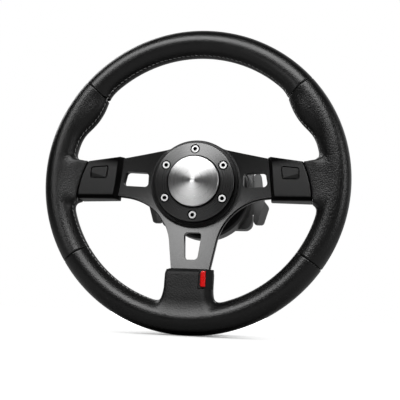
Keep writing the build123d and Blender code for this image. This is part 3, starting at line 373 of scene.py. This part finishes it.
def painted_recess_shade(tree, place, face, colour):
    """Painted shade: colour that turns dull black in what is cut into a flat or conical face round
    the steering axis, standing in for the shade down in those recesses. face is the y at the axis
    and the slope outwards."""
    start, slope = face
    level = put(
        tree,
        "ShaderNodeMath",
        {0: axis_distance(tree, place), 1: slope, 2: start},
        operation="MULTIPLY_ADD",
    )
    split = put(tree, "ShaderNodeSeparateXYZ", {0: place})
    depth = put(
        tree, "ShaderNodeMath", {0: split.outputs["Y"], 1: level.outputs[0]}, operation="SUBTRACT"
    )
    # Painted shade: deeper than the face, the colour turns to #060606.
    cut = put(
        tree,
        "ShaderNodeMapRange",
        {0: depth.outputs[0], 1: 0.15 * MM, 2: 0.4 * MM, 3: 0.0, 4: 1.0},
    )
    recess_shade_colour = put(
        tree,
        "ShaderNodeMix",
        {"Factor": cut.outputs[0], "A": paint(colour), "B": paint("#060606")},
        data_type="RGBA",
    )
    return recess_shade_colour.outputs["Result"]


def moulded(name, colour, roughness, grain=0.5, relief=0.015, face=None, **sockets):
    """Moulded plastic or blasted metal: one colour with the fine even texture of its tool or grit.
    grain and relief are in mm; face is where painted shade turns what is cut into it black."""
    material, tree, shader = blank_material(name, **{"Base Color": paint(colour), **sockets})
    place = put(tree, "ShaderNodeTexCoord").outputs["Object"]
    speck = put(
        tree, "ShaderNodeTexNoise", {"Vector": place, "Scale": 1000 / grain, "Detail": 2.0}
    )
    bump = put(
        tree,
        "ShaderNodeBump",
        {"Height": speck.outputs["Fac"], "Strength": 1.0, "Distance": relief * MM},
    )
    rough = put(
        tree,
        "ShaderNodeMapRange",
        {0: speck.outputs["Fac"], 1: 0.3, 2: 0.7, 3: roughness - 0.04, 4: roughness + 0.04},
    )
    if face:
        # Painted shade: in what is cut into the face, colour and reflection both turn black.
        tree.links.new(painted_recess_shade(tree, place, face, colour), shader.inputs["Base Color"])
        tree.links.new(painted_recess_shade(tree, place, face, "#ffffff"), shader.inputs["Specular Tint"])
    tree.links.new(rough.outputs[0], shader.inputs["Roughness"])
    tree.links.new(bump.outputs[0], shader.inputs["Normal"])
    return material


def turned(name, colour, roughness, pitch, relief, anisotropy, flatten=0.0, face=None):
    """Metal turned on a lathe about the steering axis: rings of tool marks stretch each light into
    a wedge through the centre. They are a pitch apart and relief high, in mm, coarser than a lathe
    leaves them, so that they show. flatten is the curvature, per metre, that the tool's flat cut
    takes off a dome; face is where painted shade turns what is cut into it black."""
    material, tree, shader = blank_material(
        name,
        **{
            "Base Color": paint(colour),
            "Metallic": 1.0,
            "Anisotropic": anisotropy,
            "Anisotropic Rotation": 0.25,
        },
    )
    place = put(tree, "ShaderNodeTexCoord").outputs["Object"]
    radius = axis_distance(tree, place)
    spread = put(tree, "ShaderNodeCombineXYZ", {"X": radius})
    marks = put(
        tree,
        "ShaderNodeTexNoise",
        {"Vector": spread.outputs[0], "Scale": 1000 / pitch, "Detail": 4.0},
    )
    square = put(tree, "ShaderNodeMath", {0: radius, 1: radius}, operation="MULTIPLY")
    dome = put(
        tree,
        "ShaderNodeBump",
        {"Height": square.outputs[0], "Strength": 1.0, "Distance": flatten},
    )
    bump = put(
        tree,
        "ShaderNodeBump",
        {
            "Height": marks.outputs["Fac"],
            "Strength": 1.0,
            "Distance": relief * MM,
            "Normal": dome.outputs[0],
        },
    )
    marked = put(
        tree,
        "ShaderNodeMapRange",
        {0: marks.outputs["Fac"], 1: 0.3, 2: 0.7, 3: roughness - 0.05, 4: roughness + 0.05},
    )
    # The rings get too tight for a clean cut at the very centre, which is matt.
    middle = put(
        tree, "ShaderNodeMapRange", {0: radius, 1: 0.5 * MM, 2: 3 * MM, 3: 0.4, 4: 0.0}
    )
    rough = put(
        tree, "ShaderNodeMath", {0: marked.outputs[0], 1: middle.outputs[0]}, operation="ADD"
    )
    round_way = put(tree, "ShaderNodeTangent", direction_type="RADIAL", axis="Y")
    if face:
        # Painted shade: in what is cut into the face, the metal's colour, and so its reflection,
        # turns black.
        tree.links.new(painted_recess_shade(tree, place, face, colour), shader.inputs["Base Color"])
    tree.links.new(rough.outputs[0], shader.inputs["Roughness"])
    tree.links.new(bump.outputs[0], shader.inputs["Normal"])
    tree.links.new(round_way.outputs[0], shader.inputs["Tangent"])
    return material


# Cowhide, dyed through and pressed: soft broad lights, broken by the pebbles. The top panel's grain
# is the flattest, and the bottom sleeve is the dullest: painted shade darkens what the sleeves
# reflect, the bottom one most.
pebbled_leather = leather(
    "pebbled_black_leather", grain=1.4, relief=0.18, roughness=0.31, sleeve_shade="#e6e6e6"
)
smooth_leather = leather("smooth_black_leather", grain=1.2, relief=0.08, roughness=0.3)
sleeve_leather = leather(
    "bottom_black_leather", grain=1.5, relief=0.12, roughness=0.31, sleeve_shade="#a0a0a0"
)
# Moulded polyurethane foam: dead black, seen only down in the seams.
foam = moulded("moulded_foam", "#0c0c0c", roughness=0.9, grain=1.5, relief=0.05)

# Black anodised aluminium. Etched plate has an even satin shine, blasted castings a broader grey
# one, and turned parts the fine rings of the lathe. The blasted castings are lighter than black
# anodising: painted light, as they sit in the spokes' shadow. What is cut into the ring's face
# is coloured black: painted shade.
satin_anodised = moulded(
    "satin_black_anodised_aluminium",
    "#484848",
    roughness=0.3,
    grain=0.35,
    relief=0.006,
    Metallic=1.0,
)
blasted_anodised_painted_light = moulded(
    "blasted_black_anodised_aluminium_painted_light",
    # Lighter than black: painted light for the castings in the spokes' shadow.
    "#666666",
    roughness=0.5,
    grain=0.4,
    relief=0.012,
    Metallic=1.0,
)
turned_black = turned(
    "turned_black_anodised_aluminium",
    "#464646",
    roughness=0.3,
    pitch=0.5,
    relief=0.004,
    anisotropy=0.6,
)
RING_BORE, RING_FALL = 28.0, 1.5 / 14.0  # the ring's face falls back outwards from its bore
ring_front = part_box("clamp_ring")[0][1]
ring_black = turned(
    "machined_black_anodised_ring",
    "#606060",
    roughness=0.28,
    pitch=0.5,
    relief=0.003,
    anisotropy=0.5,
    face=(ring_front - RING_BORE * MM * RING_FALL, RING_FALL),
)
# Bare aluminium, spun and then turned: bright wedges of light meet at the cap's centre.
spun_bright = turned(
    "spun_bright_aluminium",
    "#e0e0e0",
    roughness=0.3,
    pitch=0.35,
    relief=0.006,
    anisotropy=0.85,
    flatten=4.9,
)

# Moulded ABS and nylon, textured by spark erosion: a fine matt black that greys in the light. The
# pods' face comes forward outwards, and the wells cut into it get painted shade: their colour and
# reflection turn black.
POD_AT, POD_FRONT = 80.0, 2.0  # that far from the axis, the face is that far before the mid-plane
POD_SLOPE = math.tan(math.radians(9.0))
pod_abs = moulded(
    "textured_black_abs",
    "#101010",
    roughness=0.38,
    grain=0.6,
    relief=0.012,
    face=(RIM.y - (POD_FRONT - POD_AT * POD_SLOPE) * MM, -POD_SLOPE),
)
satin_abs = moulded("satin_black_abs", "#101010", roughness=0.38, grain=0.6, relief=0.012)
matte_abs = moulded(
    "matte_black_abs",
    "#080808",
    roughness=0.6,
    grain=0.6,
    relief=0.012,
    **{"Specular IOR Level": 0.25},
)
switch_black = moulded("switch_black_nylon", "#141414", roughness=0.5)
# Dyed ABS with a polished face: a clear red with one sharp light.
glossy_red = moulded("glossy_red_abs", "#cf0b0b", roughness=0.28, grain=2.5, relief=0.03)
# Printed circuit board under green lacquer.
solder_green = moulded("green_solder_mask", "#0d3b20", roughness=0.35)

# Steel: zinc-plated wire and pins shine, stainless screw heads are brushed dull, with painted
# shade that turns their sockets black, and oxide-black screws are dark and oily.
zinc_steel = moulded(
    "zinc_plated_steel", "#cfcfcf", roughness=0.25, grain=0.3, relief=0.004, Metallic=1.0
)
screw_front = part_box("ring_screws")[0][1]
screw_steel = moulded(
    "stainless_steel",
    "#e2e2e2",
    roughness=0.45,
    grain=0.3,
    relief=0.004,
    face=(screw_front, 0.0),
    Metallic=1.0,
)
oxide_steel = moulded(
    "black_oxide_steel", "#303030", roughness=0.35, grain=0.3, relief=0.004, Metallic=1.0
)
# Bonded polyester sewing thread: a dry mid grey.
polyester_thread = moulded(
    "grey_polyester_thread", "#7c7c7c", roughness=0.6, grain=0.3, relief=0.05
)

wear(foam, "rim_foam")
wear(satin_anodised, "spoke_frame", "spoke_backing")
wear(ring_black, "clamp_ring")
wear(turned_black, "base_ring", "horn_collar", "drum_front", "drum_back")
wear(turned_black, "coupler_body", "lock_ring")
wear(blasted_anodised_painted_light, "hub_spool", "hub_core", "shifter_housing", "horn_cup")
wear(blasted_anodised_painted_light, "right_paddle", "left_paddle")
wear(spun_bright, "horn_cap")
wear(pod_abs, "right_pod_front", "left_pod_front")
wear(satin_abs, "right_pod_back", "left_pod_back", "right_pod_button", "left_pod_button")
wear(satin_abs, "switch_base", "connector")
wear(matte_abs, "red_button_bezel")
wear(switch_black, "red_button_switch", "horn_switch")
wear(glossy_red, "red_button")
wear(solder_green, "right_button_board", "left_button_board", "control_board", "paddle_sensors")
wear(screw_steel, "ring_screws")
wear(zinc_steel, "horn_spring", "horn_clip", "paddle_pins")
wear(zinc_steel, "right_paddle_magnet", "left_paddle_magnet")
wear(oxide_steel, "pod_screws", "spool_bolts", "drum_screws", "coupler_screws", "retaining_clip")

softened(1.0, "right_pod_button", "left_pod_button")
softened(0.35, "right_pod_front", "left_pod_front", "right_pod_back", "left_pod_back")
softened(0.35, "spoke_frame", "spoke_backing", "clamp_ring", "base_ring")


# ---------------------------------------------------------------- shape of the leather
def joined(a, b, blend):
    """Two distances joined with a smooth fillet, as leather drawn over foam."""
    h = np.clip(0.5 + 0.5 * (b - a) / blend, 0, 1)
    return b * (1 - h) + a * h - blend * h * (1 - h)


def met(a, b, edge):
    """What lies inside both distances, with a rounded edge."""
    return -joined(-a, -b, edge)


def slab(value, low, high):
    """Distance to what lies between two parallel planes."""
    return np.abs(value - (low + high) / 2) - (high - low) / 2


def eased(value, start, end, first, last):
    """Changes smoothly from first to last while value goes from start to end."""
    t = np.clip((value - start) / (end - start), 0, 1)
    return first + (last - first) * t * t * (3 - 2 * t)


def grip(p):
    """Distance to the round grip, an ellipse swept round the wheel."""
    out = np.hypot(p[:, 0], p[:, 2]) - GRIP_RADIUS
    back = p[:, 1]
    return (np.hypot(out / GRIP_HALF[0], back / GRIP_HALF[1]) - 1) * GRIP_HALF[0]


REST_TURN, REST_RADIUS = 58.5, 131.5  # middle of a thumb rest
REST_HALF = (19.0, 8.4, 11.5)  # half its length, width and depth
REST_ARC = 127.0  # radius of the arc that its length is measured on
REST_FILLET = 9.0


def thumb_rest(p):
    """Swelling inside the grip above the side spoke, where the thumb lies."""
    length, width, depth = REST_HALF
    turn = np.arctan2(p[:, 0], p[:, 2]) - math.radians(REST_TURN)
    radius = np.hypot(p[:, 0], p[:, 2])
    oval = np.hypot(turn * REST_ARC / length, (radius - REST_RADIUS) / width)
    return (np.hypot(oval, p[:, 1] / depth) - 1) * width


SLEEVE_RISE = math.tan(math.radians(13.5))  # a sleeve's face comes forward towards the grip
SLEEVE_HALF = 13.0  # half its depth
SLEEVE_END = 146.0  # it ends inside the grip, this far out
SLEEVE_FILLET = (17, 3)  # where it runs into the grip, from the hollow between them to its end
POD_EDGE = np.array([(112.3, 15.7), (118.8, -3.0), (122.0, -24.6)])  # where the side sleeve starts
POD_GAP = 0.15
SIDE_FOOT = -24.9  # the side sleeve's lower edge
SIDE_FACE = 7.6  # how far before the mid-plane its face starts
BOTTOM_EDGE = -93.8  # where the bottom sleeve starts
BOTTOM_SIDES = (-24.0, 24.4)
BOTTOM_FACE = 3.0
BOTTOM_FACET = (17.6, 4.0)  # how far out, and before the mid-plane, its cut beside the button is


def circle_through(three):
    """Centre and radius of the circle through three (x, z) points."""
    a, b, c = three
    m = np.array([b - a, c - a]) * 2
    centre = np.linalg.solve(m, [(b @ b - a @ a), (c @ c - a @ a)])
    return centre, np.linalg.norm(a - centre)


POD_CENTRE, POD_RADIUS = circle_through(POD_EDGE)


def side_sleeve(p):
    """Flat sleeve from the pod into the grip."""
    back = p[:, 1]
    start, top = POD_EDGE[0]
    front = -(back + SIDE_FACE + (p[:, 0] - start) * SLEEVE_RISE) / math.hypot(1, SLEEVE_RISE)
    edge = eased(p[:, 0], 118, 137, 1.2, 9.0)  # crisp beside the pod, round at the grip
    shape = met(slab(p[:, 2], SIDE_FOOT, top), slab(back, -SLEEVE_HALF, SLEEVE_HALF), edge)
    shape = met(shape, front, edge)
    return met(shape, slab(p[:, 0], 100.0, SLEEVE_END), 2.0)


def bottom_sleeve(p):
    """Flat sleeve over the end of the bottom spoke; its right front edge is cut back beside the
    button."""
    back = p[:, 1]
    fall = (p[:, 2] - BOTTOM_EDGE) * SLEEVE_RISE
    front = -(back + BOTTOM_FACE - fall) / math.hypot(1, SLEEVE_RISE)
    out, ahead = BOTTOM_FACET
    facet = (p[:, 0] - out) * 0.75 - (back + ahead - fall) * 0.66
    edge = eased(-p[:, 2], 100, 138, 2.5, 8.0)  # crisp above, round at the grip
    shape = met(slab(p[:, 0], *BOTTOM_SIDES), slab(back, -SLEEVE_HALF, SLEEVE_HALF), edge)
    shape = met(met(shape, front, edge), facet, 2.5)
    return met(shape, slab(p[:, 2], -SLEEVE_END, BOTTOM_EDGE), 6.0)


def top_panel(p):
    """The grip, up to where the thumb rests begin to swell."""
    p = np.abs(p * (1, 0, 0)) + p * (0, 1, 1)
    return joined(grip(p), thumb_rest(p), REST_FILLET)


def side_panel(p):
    """The grip with its thumb rest and side sleeve, cut round beside the pod."""
    shape = joined(grip(p), thumb_rest(p), REST_FILLET)
    shape = joined(shape, side_sleeve(p), eased(p[:, 0], 116, SLEEVE_END, *SLEEVE_FILLET))
    pod = np.hypot(p[:, 0] - POD_CENTRE[0], p[:, 2] - POD_CENTRE[1]) - POD_RADIUS - POD_GAP
    return met(shape, -np.maximum(pod, slab(p[:, 2], -45.0, 35.0)), 0.5)


def bottom_panel(p):
    """The grip with the bottom sleeve."""
    return joined(grip(p), bottom_sleeve(p), eased(-p[:, 2], 112, SLEEVE_END, *SLEEVE_FILLET))


def slope_of(distance, p, step=0.05):
    """Slope of a distance at each point, which points out of the shape."""
    changes = [distance(p + step * axis) - distance(p - step * axis) for axis in np.eye(3)]
    return np.stack([change / (2 * step) for change in changes], 1)


def settle(distance, p, rounds):
    """Moves points onto the surface."""
    for _ in range(rounds):
        slope = slope_of(distance, p)
        p = p - (distance(p) / np.maximum((slope**2).sum(1), 0.1))[:, None] * slope
    return p


def skin(distance, low, high, step=1.3):
    """Points and quads over the surface where distance is zero: a point in each cell of a lattice
    that the surface crosses, and a quad across each crossed edge."""
    low = np.array(low, float)
    counts = [int((h - l) / step) + 2 for l, h in zip(low, high)]
    lattice = np.stack(np.meshgrid(*[np.arange(n) for n in counts], indexing="ij"), -1)
    value = distance(low + step * lattice.reshape(-1, 3)).reshape(counts)
    inside = value < 0
    unit = np.eye(3, dtype=int)
    corners = [np.array((i, j, k)) for i in (0, 1) for j in (0, 1) for k in (0, 1)]
    size = [n - 1 for n in counts]
    full = np.zeros(size, int)
    for i, j, k in corners:
        full += inside[i : i + size[0], j : j + size[1], k : k + size[2]]
    active = (full > 0) & (full < 8)
    number = np.full(size, -1)
    number[active] = np.arange(active.sum())
    cells = np.argwhere(active)

    # Each point starts in the middle of where the surface cuts its cell's edges.
    total = np.zeros((len(cells), 3))
    hits = np.zeros(len(cells))
    for axis in unit:
        for c in corners:
            if c @ axis:
                continue
            start = cells + c
            v0, v1 = value[tuple(start.T)], value[tuple((start + axis).T)]
            cross = (v0 < 0) != (v1 < 0)
            share = np.where(cross, v0 / np.where(cross, v0 - v1, 1), 0)
            total += np.where(cross[:, None], start + share[:, None] * axis, 0)
            hits += cross
    points = low + step * total / hits[:, None]

    quads = []
    for a in range(3):
        b, c = unit[(a + 1) % 3], unit[(a + 2) % 3]
        change = np.argwhere(inside != np.roll(inside, -1, a))
        keep = change[:, a] < counts[a] - 1
        for other in ((a + 1) % 3, (a + 2) % 3):
            keep &= (change[:, other] > 0) & (change[:, other] < counts[other] - 1)
        g = change[keep]
        quad = np.stack([number[tuple(cell.T)] for cell in (g, g - b, g - b - c, g - c)], 1)
        outward = inside[tuple(g.T)]
        quad[~outward] = quad[~outward][:, ::-1]
        quads.append(quad)
    quads = np.concatenate(quads)

    # Evening out the points makes the quads square.
    ends = np.concatenate([quads[:, [i, (i + 1) % 4]] for i in range(4)])
    for _ in range(4):
        near = np.zeros_like(points)
        share = np.zeros(len(points))
        np.add.at(near, ends[:, 0], points[ends[:, 1]])
        np.add.at(share, ends[:, 0], 1)
        points = settle(distance, 0.5 * points + 0.5 * near / share[:, None], 2)
    return settle(distance, points, 2), quads


def turn_vector(turn):
    """Direction along the rim, clockwise, at an angle from its top."""
    t = math.radians(turn)
    return np.array((math.cos(t), 0, -math.sin(t)))


ROLL_DEPTH, ROLL_WIDTH = 0.85, 1.2  # how far a panel's edge is turned in, and over what width
ROLL_CUTS = (1.4, 1.05, 0.75, 0.5, 0.28, SEAM_GAP)  # the rows of points that round it


def panel(name, distance, low, high, first, last, material, mirrored=False):
    """Leather panel between two seams, its edges rolled in and its ends closed."""
    points, quads = skin(distance, low, high)
    work = bmesh.new()
    corners = [work.verts.new(point) for point in points]
    for quad in quads:
        work.faces.new([corners[i] for i in quad])
    ways = [turn_vector(first), -turn_vector(last)]
    for way in ways:
        for stand in ROLL_CUTS:
            bmesh.ops.bisect_plane(
                work,
                geom=work.verts[:] + work.edges[:] + work.faces[:],
                dist=1e-4,
                plane_co=Vector(way * stand),
                plane_no=Vector(way),
                clear_inner=stand == SEAM_GAP,
            )
    places = np.array([v.co for v in work.verts])
    slope = slope_of(distance, places)
    slope /= np.linalg.norm(slope, axis=1)[:, None]
    for way in ways:
        stand = places @ way - SEAM_GAP
        roll = ROLL_DEPTH * np.clip(1 - stand / ROLL_WIDTH, 0, 1) ** 2
        near = stand < ROLL_WIDTH
        places[near] -= roll[near, None] * slope[near]
    if mirrored:
        places[:, 0] *= -1
        bmesh.ops.reverse_faces(work, faces=work.faces[:])
    for v, place in zip(work.verts, places):
        v.co = Vector(place) * MM + RIM
    bmesh.ops.holes_fill(work, edges=[e for e in work.edges if e.is_boundary], sides=0)
    shell = mesh_piece(name, material)
    for face in work.faces:
        face.smooth = len(face.verts) < 6  # not the flat ends
    work.to_mesh(shell.data)
    work.free()
    return shell


ROOM = 18.0  # half the depth of the room that a panel takes
top_leather = panel(
    "top_leather",
    top_panel,
    (-130, -ROOM, 85),
    (130, ROOM, 163),
    -UPPER_SEAM,
    UPPER_SEAM,
    smooth_leather,
)
side = (side_panel, (95, -ROOM, -110), (163, ROOM, 120), UPPER_SEAM, LOWER_SEAM, pebbled_leather)
right_leather = panel("right_leather", *side)
left_leather = panel("left_leather", *side, mirrored=True)
bottom_leather = panel(
    "bottom_leather",
    bottom_panel,
    (-145, -ROOM, -163),
    (145, ROOM, -70),
    LOWER_SEAM,
    360 - LOWER_SEAM,
    sleeve_leather,
)


def notched(piece, low, high):
    """Cuts a box out of a piece."""
    block = bmesh.new()
    bmesh.ops.create_cube(block, size=1.0)
    for v in block.verts:
        v.co = [first if at < 0 else last for at, first, last in zip(v.co, low, high)]
    mesh = bpy.data.meshes.new("notch")
    block.to_mesh(mesh)
    block.free()
    cutter = added("notch", mesh)
    cut = piece.modifiers.new("notch", "BOOLEAN")
    cut.object = cutter
    cut.operation = "DIFFERENCE"
    cut.solver = "EXACT"
    carved = evaluated_mesh(piece)
    piece.modifiers.clear()
    piece.data = carved
    bpy.data.objects.remove(cutter)


# The red button's surround is let into the bottom sleeve, open to the front and the side.
bezel_low, bezel_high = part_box("red_button_bezel")
notched(
    bottom_leather,
    (bezel_low[0], bezel_low[1] - 0.02, bezel_low[2]),
    (bezel_high[0] + 0.01, bezel_high[1], bezel_high[2]),
)


# ---------------------------------------------------------------- stitching
STITCH_PITCH, STITCH_LENGTH, THREAD_RADIUS = 4.8, 4.2, 0.45
STITCH_SLANT = 0.32  # how far a stitch crosses the seam, per length along it
SEAM_END = 0.6  # degrees from the end of a panel to its last stitch


def seam_line(first, last, distance, inmost, mirrored=False):
    """Points, a millimetre apart, where the closing seam runs along the inside of a panel's grip,
    without those on a sleeve, nearer to the middle of the wheel than inmost."""
    line = []
    step = math.degrees(1 / 130)  # a millimetre, about where the thread lies
    for turn in np.arange(first + SEAM_END, last - SEAM_END, step):
        t = math.radians(turn)
        radius = np.arange(108.0, 140.0, 0.05)
        back = np.full_like(radius, -STITCH_DEPTH)
        inwards = np.stack([radius * math.sin(t), back, radius * math.cos(t)], 1)
        hit = int(np.argmax(distance(inwards) < 0))
        if radius[hit] >= inmost:
            line.append(inwards[hit] * ((-1, 1, 1) if mirrored else (1, 1, 1)))
    return line


def broken(line):
    """A line split wherever a spoke's sleeve interrupts it."""
    pieces, current = [], [line[0]]
    for point in line[1:]:
        if np.linalg.norm(point - current[-1]) > 3:
            pieces.append(current)
            current = []
        current.append(point)
    return [piece for piece in pieces + [current] if len(piece) > 8]


def stitch_tree(name, material):
    """Geometry Nodes that lay stitches of thread along edges, each turned to its lie attribute."""
    tree = bpy.data.node_groups.new(name, "GeometryNodeTree")
    tree.interface.new_socket("Seam", in_out="INPUT", socket_type="NodeSocketGeometry")
    for label in ("Pitch", "Length", "Thread"):
        tree.interface.new_socket(label, in_out="INPUT", socket_type="NodeSocketFloat")
    tree.interface.new_socket("Stitches", in_out="OUTPUT", socket_type="NodeSocketGeometry")
    given = put(tree, "NodeGroupInput")
    path = put(tree, "GeometryNodeMeshToCurve", {"Mesh": given.outputs["Seam"]})
    spaced = put(
        tree,
        "GeometryNodeResampleCurve",
        {"Curve": path.outputs[0], "Length": given.outputs["Pitch"]},
        mode="LENGTH",
    )
    lie = put(tree, "GeometryNodeInputNamedAttribute", {"Name": "lie"}, data_type="FLOAT_VECTOR")
    aim = put(
        tree, "FunctionNodeAlignRotationToVector", {"Vector": lie.outputs["Attribute"]}, axis="X"
    )

    # One stitch: a round thread that thins to a fifth where it dives through the leather.
    ahead = put(tree, "ShaderNodeMath", {0: given.outputs["Length"], 1: 0.5}, operation="MULTIPLY")
    back = put(tree, "ShaderNodeMath", {0: ahead.outputs[0], 1: -1.0}, operation="MULTIPLY")
    begin = put(tree, "ShaderNodeCombineXYZ", {"X": back.outputs[0]})
    end = put(tree, "ShaderNodeCombineXYZ", {"X": ahead.outputs[0]})
    line = put(
        tree,
        "GeometryNodeCurvePrimitiveLine",
        {"Start": begin.outputs[0], "End": end.outputs[0]},
    )
    core = put(
        tree, "GeometryNodeResampleCurve", {"Curve": line.outputs[0], "Count": 7}, mode="COUNT"
    )
    along = put(tree, "GeometryNodeSplineParameter")
    bell = put(
        tree,
        "ShaderNodeMapRange",
        {0: along.outputs["Factor"], 1: 0.0, 2: 1.0, 3: -1.0, 4: 1.0},
    )
    taper = put(tree, "ShaderNodeMath", {0: bell.outputs[0], 1: 4.0}, operation="POWER")
    full = put(tree, "ShaderNodeMath", {0: 1.0, 1: taper.outputs[0]}, operation="SUBTRACT")
    width = put(
        tree, "ShaderNodeMath", {0: full.outputs[0], 1: 0.8, 2: 0.2}, operation="MULTIPLY_ADD"
    )
    wire = put(
        tree,
        "GeometryNodeCurvePrimitiveCircle",
        {"Resolution": 8, "Radius": given.outputs["Thread"]},
    )
    thread = put(
        tree,
        "GeometryNodeCurveToMesh",
        {
            "Curve": core.outputs[0],
            "Profile Curve": wire.outputs[0],
            "Fill Caps": True,
            "Scale": width.outputs[0],
        },
    )
    laid = put(
        tree,
        "GeometryNodeInstanceOnPoints",
        {"Points": spaced.outputs[0], "Instance": thread.outputs[0], "Rotation": aim.outputs[0]},
    )
    real = put(tree, "GeometryNodeRealizeInstances", {"Geometry": laid.outputs[0]})
    smooth = put(tree, "GeometryNodeSetShadeSmooth", {"Geometry": real.outputs[0]})
    dressed = put(
        tree, "GeometryNodeSetMaterial", {"Geometry": smooth.outputs[0], "Material": material}
    )
    put(tree, "NodeGroupOutput", {"Stitches": dressed.outputs[0]})
    return tree


def grown(base, tree, values, name):
    """Piece that a Geometry Nodes tree makes from another, which it takes the place of."""
    modifier = base.modifiers.new("nodes", "NODES")
    modifier.node_group = tree
    sockets = [item for item in tree.interface.items_tree if item.in_out == "INPUT"]
    keys = {item.name: item.identifier for item in sockets}
    for label, value in values.items():
        modifier[keys[label]] = value
    made = evaluated_mesh(base)
    bpy.data.objects.remove(base)
    return added(name, made)


lines = broken(seam_line(-UPPER_SEAM, UPPER_SEAM, top_panel, 121.0))
for mirrored in (False, True):
    lines += broken(seam_line(UPPER_SEAM, LOWER_SEAM, side_panel, 121.0, mirrored))
lines += broken(seam_line(LOWER_SEAM, 360 - LOWER_SEAM, bottom_panel, 128.5))
seam_points, seam_edges, lies = [], [], []
for line in lines:
    start = len(seam_points)
    seam_points += line
    seam_edges += [(start + i, start + i + 1) for i in range(len(line) - 1)]
    along = np.gradient(np.array(line), axis=0)
    along /= np.linalg.norm(along, axis=1)[:, None]
    lies += (along + STITCH_SLANT * np.array((0, 1, 0))).tolist()
seam = mesh_piece("seam", polyester_thread, seam_points, seam_edges)
lie = seam.data.attributes.new("lie", "FLOAT_VECTOR", "POINT")
lie.data.foreach_set("vector", np.array(lies).ravel())
stitches = grown(
    seam,
    stitch_tree("stitching", polyester_thread),
    {"Pitch": STITCH_PITCH * MM, "Length": STITCH_LENGTH * MM, "Thread": THREAD_RADIUS * MM},
    "stitches",
)


# ---------------------------------------------------------------- what moves with what
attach(stitches, "wheel")
for piece, names in (
    (top_leather, ["leather_top"]),
    (right_leather, ["leather_right", "right_thumb_rest"]),
    (left_leather, ["leather_left", "left_thumb_rest"]),
    (bottom_leather, ["leather_bottom"]),
):
    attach(piece, "wheel")
    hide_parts(*names)
for piece in (top_leather, left_leather):
    on_leather.objects.link(piece)
